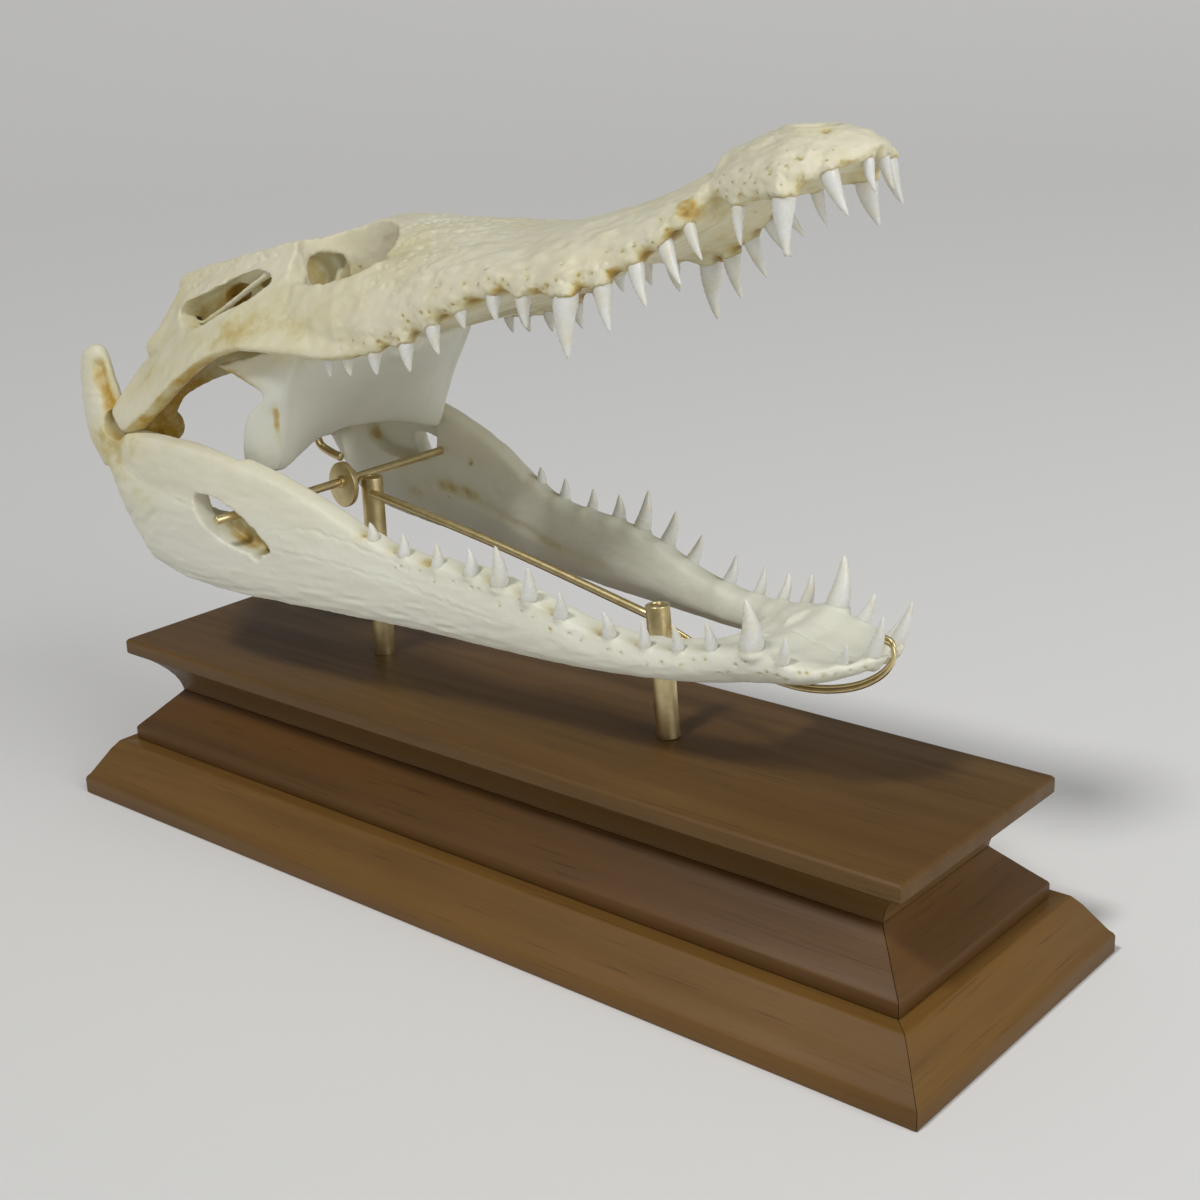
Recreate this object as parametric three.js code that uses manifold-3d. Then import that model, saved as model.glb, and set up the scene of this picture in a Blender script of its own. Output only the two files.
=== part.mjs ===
// A crocodile's skull with its jaws open, held on brass rods over a stepped walnut plinth.
// Millimetres, +X towards the snout, +Y to the animal's left and +Z up. The origin is the middle of the underside.
import * as THREE from "three";
import { mergeVertices } from "three/addons/utils/BufferGeometryUtils.js";
import Module from "manifold-3d";

// Driving dimensions of the plinth.
const PLINTH_LENGTH = 500;
const PLINTH_WIDTH = 161;
const PLINTH_TOP = 83.9;
const GAP = 0.3; // between pieces that touch

// Driving dimensions of the mount.
const POST_RADIUS = 5.3;
const BAR_RADIUS = 2;
const WIRE_RADIUS = 0.9;
const REAR_POST = { foot: [-104.4, 4, PLINTH_TOP + GAP], head: [-104.4, 4, 173.5] };
const FRONT_POST = { foot: [76, 1, PLINTH_TOP + GAP], head: [71.5, 1, 143.5] };
const CROSSBAR = { near: [-118.4, -80, 169.6], far: [-107.5, 62, 175] };

// The cranium is drawn level, u forward from behind the jaw joint, v to the left and w up, then tipped nose up.
const JAW_JOINT = new THREE.Vector3(-215, 0, 196.25);
const CRANIUM_PITCH = THREE.MathUtils.degToRad(19);

const COLOURS = {
  bone: { color: 0xe9e2cc, roughness: 0.55, metalness: 0 },
  brass: { color: 0xb39a5b, roughness: 0.3, metalness: 1 },
  topWood: { color: 0x5d4632, roughness: 0.5, metalness: 0 },
  middleWood: { color: 0x593a27, roughness: 0.5, metalness: 0 },
  bottomWood: { color: 0x75603f, roughness: 0.5, metalness: 0 },
};

const wasm = await Module();
wasm.setup();

// ---- Making and joining solids ----

function solidOf(geometry) {
  const bare = geometry.clone();
  bare.deleteAttribute("normal");
  bare.deleteAttribute("uv");
  const merged = mergeVertices(bare, 1e-4);
  const vertProperties = Float32Array.from(merged.attributes.position.array);
  const triVerts = Uint32Array.from(merged.index.array);
  const made = new wasm.Manifold(new wasm.Mesh({ numProp: 3, vertProperties, triVerts }));
  if (made.volume() > 0) return made;
  for (let i = 0; i < triVerts.length; i += 3)
    [triVerts[i + 1], triVerts[i + 2]] = [triVerts[i + 2], triVerts[i + 1]];
  return new wasm.Manifold(new wasm.Mesh({ numProp: 3, vertProperties, triVerts }));
}

const joined = (solids) => solids.reduce((whole, solid) => whole.add(solid));
const cut = (solid, cutters) => cutters.reduce((rest, cutter) => rest.subtract(cutter), solid);

function geometryOf(solid) {
  const mesh = solid.getMesh();
  const positions = Float32Array.from(mesh.vertProperties);
  return new THREE.BufferGeometry()
    .setAttribute("position", new THREE.BufferAttribute(positions, 3))
    .setIndex(new THREE.BufferAttribute(Uint32Array.from(mesh.triVerts), 1));
}

const at = (x, y, z) => new THREE.Vector3(x, y, z);
const mirrored = (point) => at(point.x, -point.y, point.z);

// A closed body through rings of points: ring(t) gives the ring at t, from 0 at one end to 1 at the other.
function loft(ring, steps) {
  const rings = Array.from({ length: steps + 1 }, (_, i) => ring(i / steps));
  const sides = rings[0].length;
  const centres = rings.map((points) =>
    points.reduce((sum, point) => sum.add(point), at(0, 0, 0)).divideScalar(sides));
  const geometry = new THREE.CylinderGeometry(1, 1, 1, sides, steps);
  const position = geometry.attributes.position;
  for (let i = 0; i < position.count; i++) {
    const [x, y, z] = [position.getX(i), position.getY(i), position.getZ(i)];
    const level = Math.round((y + 0.5) * steps);
    const turn = Math.round((Math.atan2(x, z) / (2 * Math.PI)) * sides);
    const point = Math.hypot(x, z) < 0.5 ? centres[level] : rings[level][(turn + sides) % sides];
    position.setXYZ(i, point.x, point.y, point.z);
  }
  return solidOf(geometry);
}

// A smooth function through [place, value] pairs that never overshoots them.
function rail(pairs) {
  const xs = pairs.map((pair) => pair[0]);
  const ys = pairs.map((pair) => pair[1]);
  const rises = xs.slice(1).map((x, i) => (ys[i + 1] - ys[i]) / (x - xs[i]));
  const slopes = xs.map((_, i) => {
    const [before, after] = [rises[Math.max(i - 1, 0)], rises[Math.min(i, rises.length - 1)]];
    return before * after <= 0 ? 0 : (2 * before * after) / (before + after);
  });
  return (x) => {
    const next = xs.findIndex((value) => value > x);
    const k = next < 0 ? xs.length - 2 : Math.max(0, next - 1);
    const span = xs[k + 1] - xs[k];
    const t = THREE.MathUtils.clamp((x - xs[k]) / span, 0, 1);
    const [a, b] = [ys[k], ys[k + 1]];
    const [ma, mb] = [slopes[k] * span, slopes[k + 1] * span];
    return a + t * (ma + t * (3 * (b - a) - 2 * ma - mb + t * (2 * (a - b) + ma + mb)));
  };
}

// Several rails that share their places: rows are [place, value, value, ...].
function rails(rows) {
  const tracks = rows[0].slice(1).map((_, i) => rail(rows.map((row) => [row[0], row[i + 1]])));
  return (x) => tracks.map((track) => track(x));
}

// A ring that is the same on both sides: half holds [v, w] pairs from the middle below to the middle above.
function twoSidedRing(u, half) {
  const left = half.map(([v, w]) => at(u, v, w));
  return [...left, ...left.slice(1, -1).reverse().map(mirrored)];
}

// A ring pushed outwards from its own middle.
function spread(ring, grown) {
  const middle = ring.reduce((sum, point) => sum.add(point), at(0, 0, 0)).divideScalar(ring.length);
  return ring.map((point) => point.clone().add(point.clone().sub(middle).setLength(grown)));
}

const bothSides = (make) => [make(1), make(-1)];
const onSide = (side, point) => at(point.x, side * point.y, point.z);

// A round bar along a smooth curve through the points.
function roundBar(points, radius, sides, steps) {
  const disc = new THREE.Shape();
  for (let i = 0; i < sides; i++) {
    const turn = (2 * Math.PI * i) / sides;
    const [x, y] = [radius * Math.cos(turn), radius * Math.sin(turn)];
    if (i) disc.lineTo(x, y);
    else disc.moveTo(x, y);
  }
  const path = new THREE.CatmullRomCurve3(points.map((point) => at(...point)));
  return solidOf(new THREE.ExtrudeGeometry(disc, { steps, extrudePath: path }));
}

// A closed outline of [across, up] points, pushed along an axis by the place function.
function prism(outline, from, to, place) {
  return loft((t) => outline.map(([a, b]) => place(a, b, from + (to - from) * t)), 1);
}

function oval(middle, radii, sides) {
  return Array.from({ length: sides }, (_, i) => {
    const turn = (2 * Math.PI * i) / sides;
    return [middle[0] + radii[0] * Math.cos(turn), middle[1] + radii[1] * Math.sin(turn)];
  });
}

const upright = (u, v, w) => at(u, v, w); // place functions for prisms pushed up, across and forward
const crosswise = (u, w, v) => at(u, v, w);
const lengthwise = (v, w, u) => at(u, v, w);

// ---- Teeth ----

// A tooth from its socket to its tip, curving back a little, with its root sunk in the bone.
function tooth(base, tip, radius, blunt = 0.12) {
  const [foot, point] = [at(...base), at(...tip)];
  const along = point.clone().sub(foot);
  const across = at(along.z, 0, -along.x).normalize();
  const aside = along.clone().cross(across).normalize();
  const widths = rail([[0, 0.86], [0.3, 1], [0.65, 0.68], [0.9, 0.3], [1, blunt]]);
  const root = -radius * 1.1;
  return loft((t) => {
    const height = root + (along.length() - root) * t;
    const share = Math.max(height, 0) / along.length();
    const middle = foot.clone().addScaledVector(along, height / along.length());
    middle.addScaledVector(across, radius * 0.35 * Math.sin(Math.PI * share));
    return Array.from({ length: 5 }, (_, i) => {
      const turn = (Math.PI * i) / 2.5;
      const reach = radius * widths(share);
      return middle.clone()
        .addScaledVector(across, reach * Math.cos(turn))
        .addScaledVector(aside, reach * Math.sin(turn));
    });
  }, 2);
}

// Upper teeth: u, v and w of the socket, then of the tip, and the radius.
const UPPER_TEETH = [
  [415.3, 5.2, 0.8, 415.5, 6, -10.5, 2.3], [408, 19.6, 0.3, 410, 18.4, -16.3, 3.3],
  [392, 27.1, -3, 387, 28, -23.2, 4.2], [370.4, 25.8, -0.7, 369, 28.5, -14.5, 2.4],
  [350.4, 31, -1.5, 354, 33.7, -15, 2.4], [339.8, 34, -5, 343.8, 37, -21.3, 3],
  [326.1, 37.5, -9, 327.1, 39.5, -25.3, 3.2], [311.1, 41.6, -12, 309.1, 42.9, -30, 3.6],
  [296.2, 46.8, -11.6, 289.6, 48.6, -34.8, 4.8], [275.4, 47.8, -6.4, 273.6, 49, -18.7, 3],
  [260.5, 48.6, -2.3, 259.3, 49.4, -12.5, 2.8], [242.3, 50.4, -3.1, 242.1, 50.6, -10.9, 2.6],
  [226.6, 52.6, -5.6, 226.3, 53.5, -17.5, 3], [209.9, 54, -8.8, 208.6, 55, -20.4, 3.1],
  [191.7, 55.4, -7.6, 189.3, 56, -17.1, 3], [175.3, 56.2, -5.2, 174.4, 57, -13.9, 2.8],
  [164.1, 57, -3.4, 162.9, 58, -11.6, 2.4],
];

function upperTeeth(side) {
  return UPPER_TEETH.map(([u, v, w, tipU, tipV, tipW, radius], i) =>
    tooth([u, side * v, w], [tipU, side * tipV, tipW], radius, i === 2 ? 0.5 : 0.12));
}

// ---- Cranium ----

// u, half-width at the jaw margin, height of the margin, of the palate and of the back, and of the shoulder
// where the flank turns into the back: its half-width and its height.
const MUZZLE = rails([
  [146, 59, 5, -3, 51.5, 30, 46],
  [168, 59.5, -2, -4, 50.8, 27, 45],
  [190, 59, -7.5, -4.5, 45, 33, 34.5],
  [208, 57.3, -9, -4.5, 38.5, 34.5, 28],
  [227, 56, -5.7, -4, 32.5, 34, 24],
  [245, 54, -3.3, -3.5, 26.3, 32.5, 20.5],
  [262, 51.6, -2.4, -3.5, 21.2, 31, 17],
  [279, 50.6, -7, -4.5, 18, 29.5, 14],
  [296, 50.4, -11.8, -5.5, 15.8, 28.5, 12],
  [311, 45.2, -12, -6, 14.6, 26.5, 10.8],
  [327, 40.8, -8.8, -5.5, 13.4, 24, 9.3],
  [341, 37.2, -4.8, -4, 13, 21.5, 9],
  [349, 34, -1.4, -2.5, 15.6, 18.5, 10.5],
  [355, 28, 3, -1.5, 19.2, 15.5, 13],
  [360, 23.5, 5.5, -1, 21.3, 14.5, 15],
  [367, 26.5, 1.5, -1, 22.6, 17.5, 16],
  [378, 29.4, -1.4, 0, 23.2, 19.5, 16.5],
  [392, 30.2, -2.9, 1, 21.4, 19.5, 15.5],
  [402, 26.8, -1.2, 2, 18.4, 16.5, 13.4],
  [409, 20.8, 0.5, 2.5, 15, 12.5, 11],
  [414, 14.8, 1.6, 3, 11.8, 9, 9],
  [417.5, 9, 2.4, 3.4, 8.6, 5.5, 7],
  [419.5, 4, 3.2, 3.8, 6.4, 2.5, 5.6],
]);

function muzzleRing(u) {
  const [half, margin, palate, back, shoulder, shoulderHeight] = MUZZLE(u);
  const lip = Math.min(5.5, half * 0.35);
  const flank = margin + (shoulderHeight - margin) * 0.32;
  const belly = (half + shoulder) / 2 + half * 0.06;
  return twoSidedRing(u, [
    [0, palate + 1.2], [half * 0.42, palate], [half - lip * 1.6, (palate + margin) / 2],
    [half - lip, margin], [half - 1, margin + 0.4], [half, flank],
    [belly, flank + (shoulderHeight - flank) * 0.62], [shoulder, shoulderHeight],
    [shoulder * 0.55, back - (back - shoulderHeight) * 0.25], [0, back],
  ]);
}

function muzzle() {
  const [rear, tip] = [148, 419.5];
  return loft((t) => muzzleRing(rear + (tip - rear) * (1 - (1 - t) ** 1.5)), 18);
}

// The cheek from the jaw joint to the snout: along, then the lower edge's and the upper edge's u, v and w.
const CHEEK = rails([
  [0, 18, 69, 2, 14.5, 66, 7],
  [1, 26, 73, -5, 16.5, 69, 8],
  [2, 40, 74, -2, 21, 65, 14],
  [3, 56, 74, 3, 28, 58, 21],
  [4, 72, 73.5, 8, 35, 52, 29],
  [5, 88, 73, 12, 49, 46, 40],
  [6, 104, 72, 14.4, 64, 41.5, 53],
  [7, 118, 71, 14, 85, 39.5, 54],
  [8, 134, 69.2, 9, 112, 38, 52],
  [9, 153, 66, 2, 145, 34, 50],
  [10, 170, 63, -4, 166, 30, 48],
  [11, 190, 59.5, -7, 188, 24, 42],
]);
const CHEEK_DEPTH = rail([[0, 4], [1, 8], [4, 8.5], [8, 8], [11, 10]]);

function cheek(side, grown = 0) {
  return loft((t) => {
    const along = 11 * t;
    const [lu, lv, lw, uu, uv, uw] = CHEEK(along);
    const depth = CHEEK_DEPTH(along);
    const between = (share, bulge, inset) => onSide(side, at(
      lu + (uu - lu) * share - (along ? 0 : grown),
      lv + (uv - lv) * share + bulge - inset * 0.9,
      lw + (uw - lw) * share + bulge * 0.5 - inset * 0.45));
    return spread([
      between(0, 0, 0), between(0.12, 1.6, 0), between(0.5, 2.4, 0), between(1, 0, 0),
      between(1, 0, depth * 0.7), between(0.16, 0, depth), between(0.02, 0, depth * 0.8),
    ], grown);
  }, 11);
}

// The flat skull table between and behind the eyes: u, half-width, height above and height below.
const TABLE = rails([
  [55, 40, 56.5, 46], [62, 40.5, 58.3, 46.5], [96, 39.5, 56, 46.5], [130, 38, 53, 43.5], [146, 36.5, 51.5, 42],
  [156, 22, 51.2, 43],
]);

function skullTable() {
  return loft((t) => {
    const u = 55 + 101 * t;
    const [half, above, below] = TABLE(u);
    return twoSidedRing(u, [
      [0, below], [half - 4, below], [half, below + 2.5], [half, above - 2.2], [half - 2.5, above],
      [0, above - 1],
    ]);
  }, 6);
}

// The braincase under the table, with the palate's midline bar running forward from its foot.
const BRAINCASE = rails([
  [46, 9, 13, 8, 4, 52], [60, 14, 18, 10, -4, 55], [80, 16, 19, 9, -12, 54], [100, 15, 18, 7.5, -18, 53],
  [118, 13, 15, 8, -18, 51], [134, 11, 10, 9, -13, 50], [148, 10, 7, 9, -8, 48],
]);

function braincase() {
  return loft((t) => {
    const u = 46 + 102 * t;
    const [low, wide, high, bottom, top] = BRAINCASE(u);
    return twoSidedRing(u, [
      [0, bottom], [low, bottom + 2], [wide, bottom + (top - bottom) * 0.4],
      [high + 2, bottom + (top - bottom) * 0.75], [high, top], [0, top],
    ]);
  }, 6);
}

// The back wall, drawn out at each side into a paroccipital process: v, then u and w above and below.
const OCCIPUT = rails([
  [0, 58, 56, 44, 11], [16, 58, 56, 43, 13], [30, 57, 55.5, 41, 19], [40, 54, 51, 38, 24], [47, 44, 41, 35, 26],
  [53, 37, 31, 34, 27],
]);

function occiput() {
  return loft((t) => {
    const v = -53 + 106 * t;
    const [topU, topW, lowU, lowW] = OCCIPUT(Math.abs(v));
    const depth = 14 - 7 * (Math.abs(v) / 53);
    return [
      at(lowU, v, lowW), at((lowU + topU) / 2 - 1.5, v, (lowW + topW) / 2), at(topU, v, topW),
      at(topU + depth, v, topW - 1), at(lowU + depth, v, lowW + 1),
    ];
  }, 12);
}

// The rounded roller of the jaw joint, then with the plate that runs from it up to the braincase.
function roller(side, grown = 0) {
  return loft((t) => {
    const v = 44 - grown + (27 + 2 * grown) * t;
    const reach = 7.4 * Math.sqrt(1 - (Math.abs(t - 0.5) / 0.62) ** 3) + grown;
    return oval([26.5 - 5 * t, -6.5 + 6.5 * t], [reach, reach * 0.9], 8)
      .map(([u, w]) => onSide(side, at(u, v, w)));
  }, 4);
}

function quadrate(side) {
  const plate = rails([
    [0, 26, 58, -3, 14, 5], [0.35, 44, 50, 8, 15, 4.5], [0.7, 64, 36, 18, 15, 4.5], [1, 82, 18, 22, 14, 6],
  ]);
  const wall = loft((t) => {
    const [u, v, w, rise, depth] = plate(t);
    return [
      [-depth, -rise], [depth, -rise * 0.9], [depth, rise], [-depth, rise],
    ].map(([a, b]) => onSide(side, at(u + a, v + b * 0.35, w + b)));
  }, 4);
  return roller(side).add(wall);
}

// The wings of the palate, one wall across the skull: v, then u and w of its top, its hollow front and its foot.
const WINGS = rails([
  [0, 152, -5, 118, -20, 95, -31],
  [20, 152, -5, 121, -20.5, 99, -33],
  [38, 148, -4, 124, -18.5, 103, -38],
  [46, 145, -2, 124, -17, 104, -40.5],
  [53, 141, 1, 123, -16, 104, -41],
]);

function wings() {
  return loft((t) => {
    const v = -53 + 106 * t;
    const [topU, topW, frontU, frontW, footU, footW] = WINGS(Math.abs(v));
    return [
      at(topU, v, topW), at(frontU, v, frontW), at(footU, v, footW), at(footU - 4, v, footW + 2),
      at(frontU - 7, v, frontW + 5), at(topU - 12, v, topW + 6),
    ];
  }, 8);
}

// The strut at each side, from the cheek down to the thick rim of the wing: its fall from 0 to 1, then u, v and w
// of its front edge and of its rear edge.
const STRUT = rails([
  [0, 143, 55, 6, 104, 61, 8],
  [0.25, 133, 56, -5, 108, 60, -2],
  [0.4, 127, 55.5, -12, 113, 59, -9],
  [0.55, 120, 55, -20, 102, 59, -15],
  [0.75, 112, 53.5, -30, 91.5, 58.5, -26],
  [0.92, 105.5, 51.5, -39, 87, 57.5, -37],
  [1, 102, 51, -43, 89, 56, -41.5],
]);

function strut(side) {
  return loft((t) => {
    const [fu, fv, fw, ru, rv, rw] = STRUT(t);
    const depth = 6 - 2.5 * t;
    return [
      at(fu, fv, fw), at((fu + ru) / 2, (fv + rv) / 2 + 1.5, (fw + rw) / 2), at(ru, rv, rw),
      at(ru, rv - depth, rw), at((fu + ru) / 2, (fv + rv) / 2 - depth, (fw + rw) / 2), at(fu, fv - depth, fw),
    ].map((point) => onSide(side, point));
  }, 6);
}

function craniumOpenings() {
  const eye = (side) => prism(oval([164, 31.5], [22.5, 19], 12), 4, 80, (u, v, w) => at(u, side * v, w));
  const palateHole = (side) => prism(oval([182, 26], [24, 10.5], 8), -30, 12, (u, v, w) => at(u, side * v, w));
  const cheekOutline = [
    [72, 40], [78, 34], [92, 30.5], [108, 29.5], [124, 31.5], [136, 35], [139, 40], [132, 44], [112, 46],
    [90, 46.5], [77, 45],
  ];
  const cheekHole = (side) => prism(cheekOutline, 20, 80, (u, w, v) => at(u, side * v, w));
  const tableHole = (side) => prism(oval([100, 18], [12.5, 8.5], 10), 30, 80, (u, v, w) => at(u, side * v, w));
  return [
    ...[eye, palateHole, cheekHole, tableHole].flatMap(bothSides),
    prism(oval([165, 27], [18, 13], 12), -30, 30, crosswise), // between the eyes
    prism(oval([0, 31], [5.5, 5], 10), 20, 62, lengthwise), // the spinal cord's hole
    prism(oval([395, 0], [9.5, 8], 12), 12, 40, upright), // nostrils
  ];
}

function noseUp(solid) {
  const turn = new THREE.Matrix4().makeRotationY(-CRANIUM_PITCH).setPosition(JAW_JOINT);
  return solidOf(geometryOf(solid).applyMatrix4(turn));
}

function cranium() {
  const body = joined([
    muzzle(), skullTable(), braincase(), occiput(), wings(), ...[cheek, quadrate, strut].flatMap(bothSides),
  ]);
  const knob = new THREE.SphereGeometry(6, 8, 6).translate(40, 0, 19);
  const whole = joined([cut(body, craniumOpenings()), solidOf(knob), ...bothSides(upperTeeth).flat()]);
  return noseUp(whole);
}

// ---- Lower jaw ----

// x, half-width outside and inside, height of the upper and the lower edge.
const RAMUS = rails([
  [-206, 75, 62, 201, 184],
  [-200, 76.5, 60, 201.5, 168],
  [-190, 77.5, 60, 200, 150],
  [-178, 78, 60, 199.5, 137.5],
  [-150, 77.5, 59, 199, 132.3],
  [-120, 74.5, 56.5, 195.5, 130.3],
  [-94, 70.5, 54, 189.5, 130],
  [-70, 66.5, 51, 181, 129.6],
  [-42, 61, 46, 168.3, 128.8],
  [-20, 57, 41.5, 162.5, 127.8],
  [10, 53.5, 37.5, 160.8, 126.6],
  [40, 50.5, 34.5, 155, 126],
  [60, 48, 32, 148.6, 125.8],
  [80, 45, 28.5, 144.4, 126],
  [98, 42.8, 24.5, 143, 126.8],
  [112, 40, 19, 143.8, 127.4],
  [126, 37, 10, 145.8, 128.4],
  [132, 34.6, 5, 146, 130.4],
]);

function ramus(side) {
  return loft((t) => {
    const x = -206 + 338 * t;
    const [outer, inner, top, bottom] = RAMUS(x);
    const [width, height] = [outer - inner, top - bottom];
    const low = outer - width * 0.72;
    return [
      [inner + width * 0.22, top], [outer - width * 0.2, top - 0.6], [outer - 0.6, top - height * 0.24],
      [outer, top - height * 0.5], [outer - width * 0.16, bottom + height * 0.16], [outer - width * 0.46, bottom],
      [low, bottom + height * 0.08], [inner - width * 0.02, bottom + height * 0.36], [inner, top - height * 0.28],
    ].map(([y, z]) => onSide(side, at(x, y, z)));
  }, 17);
}

// The chin, where the two sides are one bone: x, half-width, height above and below.
const CHIN = rails([
  [116, 38.6, 144, 128], [126, 37.2, 145.6, 128.6], [142, 34.2, 149, 130], [150, 31.6, 147, 131.2],
  [158, 31, 145.2, 132.6], [168, 27.5, 144.4, 135], [178, 21.5, 145.6, 138.6], [185, 14.5, 147, 142], [189, 7, 148, 145],
]);

function chin() {
  return loft((t) => {
    const x = 116 + 73 * (1 - (1 - t) ** 1.5);
    const [half, above, below] = CHIN(x);
    const height = above - below;
    return twoSidedRing(x, [
      [0, below + height * 0.16], [half * 0.4, below], [half * 0.78, below + height * 0.12],
      [half * 0.98, below + height * 0.45], [half, above - height * 0.2], [half * 0.92, above - 0.4],
      [half * 0.72, above], [half * 0.4, above - 2.4], [0, above - 3],
    ]);
  }, 10);
}

// The process behind the joint, rising to a rounded spoon: along, x, y, z, half-length and half-thickness.
const SPUR = rails([
  [0, -196, 68, 186, 13, 8], [1, -206, 68, 197, 11, 7.5], [2, -214, 66.5, 209, 8.5, 6.5], [3, -219, 64.5, 220, 7.2, 5.6],
  [4, -222, 63, 230, 6.2, 4.6], [5, -223, 62.5, 236, 2.6, 2],
]);

function spur(side) {
  return loft((t) => {
    const [x, y, z, length, depth] = SPUR(5 * t);
    return oval([0, 0], [length, depth], 8).map(([a, b]) => onSide(side, at(x + a, y + b, z + a * 0.45)));
  }, 6);
}

// The ledge inside the jaw joint that the upper jaw's roller turns on.
function ledge(side) {
  return loft((t) => {
    const y = 46 + 26 * t;
    return oval([-196 + 2 * t, 178 + 5 * t], [9, 12 - 5 * (1 - t)], 8).map(([x, z]) => onSide(side, at(x, y, z)));
  }, 3);
}

function lowerJawOpenings() {
  const window = [
    [-138, 178], [-137, 170], [-131, 162.5], [-120, 157], [-108, 154], [-97, 154.5], [-95, 158.5], [-104, 167],
    [-114, 174], [-127, 178.5],
  ];
  const sideWindow = (side) => prism(window, 62, 90, (x, z, y) => at(x, side * y, z));
  const muscleRoom = [[-168, 178], [-154, 168], [-132, 166], [-116, 170], [-112, 178], [-120, 215], [-170, 215]];
  const innerRoom = (side) => prism(muscleRoom, 40, 66, (x, z, y) => at(x, side * y, z));
  return [sideWindow, innerRoom].flatMap(bothSides);
}

// Lower teeth: x, y and z of the socket, then of the tip, and the radius.
const LOWER_TEETH = [
  [184, 8.5, 146.5, 190, 10.5, 164.5, 3], [176, 17.5, 144.5, 180.5, 21, 154.5, 2.2],
  [156, 28.5, 144.5, 160, 31.9, 156.3, 2.8], [143, 30.2, 148.5, 143.5, 34.8, 169.5, 4.6],
  [125.7, 33.3, 145.6, 126, 37.2, 157.4, 2.6], [111.8, 36.6, 143.4, 112.2, 40.6, 154.6, 2.5],
  [97.1, 39.5, 142.5, 98.2, 42.4, 154, 2.4], [80, 41, 143.8, 80.8, 45.5, 155.2, 2.9],
  [57, 44.6, 148.7, 60, 48.6, 160.4, 2.9], [41.5, 46.7, 153.9, 44.5, 49.8, 168.4, 3.4],
  [26.2, 47.6, 157.8, 28, 51, 175.4, 3.8], [11.3, 49.1, 160, 11.5, 50, 171.2, 3.1],
  [-6.7, 51.2, 160.4, -5.8, 52, 171, 2.6], [-25, 52.9, 163, -24.4, 53.6, 172.9, 2.7],
  [-41.5, 55, 167.4, -42, 56, 175.4, 2.7],
];

function lowerTeeth(side) {
  return LOWER_TEETH.map(([x, y, z, tipX, tipY, tipZ, radius]) =>
    tooth([x, side * y, z], [tipX, side * tipY, tipZ], radius));
}

function lowerJaw(clearances) {
  const body = joined([chin(), ...[ramus, spur, ledge].flatMap(bothSides)]);
  const hollowed = cut(body, lowerJawOpenings());
  return cut(joined([hollowed, ...bothSides(lowerTeeth).flat()]), clearances);
}

// ---- Plinth and mount ----

// One tier of the plinth, mitred at the corners: [inset, height] from its foot, up the outside, to its top.
function tier(profile) {
  return loft((t) => {
    const [inset, height] = profile[Math.round(t * (profile.length - 1))];
    const [x, y] = [PLINTH_LENGTH / 2 - inset, PLINTH_WIDTH / 2 - inset];
    return [at(-x, -y, height), at(x, -y, height), at(x, y, height), at(-x, y, height)];
  }, profile.length - 1);
}

const BOTTOM_TIER = [[0.6, 0], [0, 0.8], [0, 8], [2, 10.8], [6, 17], [10.5, 24], [14, 28.5], [20, 28.6]];
const MIDDLE_TIER = [[21, 28.6 + GAP], [20.8, 35], [21.4, 36], [39, 53.6], [39.5, 54.4]];
const TOP_TIER = [
  [39.5, 54.4 + GAP], [38.6, 58], [35.2, 64.5], [30, 70.5], [24, 74.6], [21, 76], [20.8, 82.9], [21.8, PLINTH_TOP],
];

const CROSSBAR_LINE = [CROSSBAR.near, CROSSBAR.far];
const LONG_ROD_LINE = [[-98.6, 1, 166], [-20, 0.5, 154.5], [65.4, 0, 138.6]];
const HOOK_LINE = [
  [-113, -6.5, 184], [-120, -6.5, 185.5], [-128, -6, 188.5], [-131, -5, 195], [-128, -4, 203], [-120, -3, 209],
  [-113, -2, 212.5],
];
const JAW_WIRE_LINE = [
  [79.5, 0, 133], [100, -1, 126.5], [125, -3, 122.8], [148, -5, 123.4], [165, -5.5, 126.8], [180, -5.5, 132.5],
  [190, -5, 140], [192.8, -4, 146], [191, -3, 150.3], [186, -2.5, 151.5],
];
const TONGUE = { middle: [-112.6, 170.8], radii: [9, 11], near: -8.2, far: -5.2 };

// A post whose ends are level, whichever way it leans.
function post({ foot, head }, radius) {
  return loft((t) => {
    const middle = at(...foot).lerp(at(...head), t);
    return oval([middle.x, middle.y], [radius, radius], 16).map(([x, y]) => at(x, y, middle.z));
  }, 1);
}

const crossbar = (grown = 0) => roundBar(CROSSBAR_LINE, BAR_RADIUS + grown, 10, 1);
const craniumHook = (grown = 0) => roundBar(HOOK_LINE, BAR_RADIUS + grown, 8, 10);
const jawWire = (grown = 0) => roundBar(JAW_WIRE_LINE, WIRE_RADIUS + grown, 6, 18);

function mountSolids() {
  const tongue = prism(oval(TONGUE.middle, TONGUE.radii, 14), TONGUE.near, TONGUE.far, crosswise);
  return {
    rear_post: post(REAR_POST, POST_RADIUS),
    front_post: post(FRONT_POST, POST_RADIUS),
    crossbar: crossbar(),
    clamp_tongue: tongue.subtract(crossbar(GAP)),
    long_rod: cut(roundBar(LONG_ROD_LINE, BAR_RADIUS, 8, 4), [
      post(REAR_POST, POST_RADIUS + GAP), post(FRONT_POST, POST_RADIUS + GAP),
    ]),
    cranium_hook: craniumHook(),
    jaw_wire: jawWire(),
  };
}

// ---- The whole ----

const model = new THREE.Group();

function place(name, solid, finish) {
  const mesh = new THREE.Mesh(geometryOf(solid), new THREE.MeshStandardMaterial(finish));
  mesh.name = name;
  model.add(mesh);
}

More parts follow.
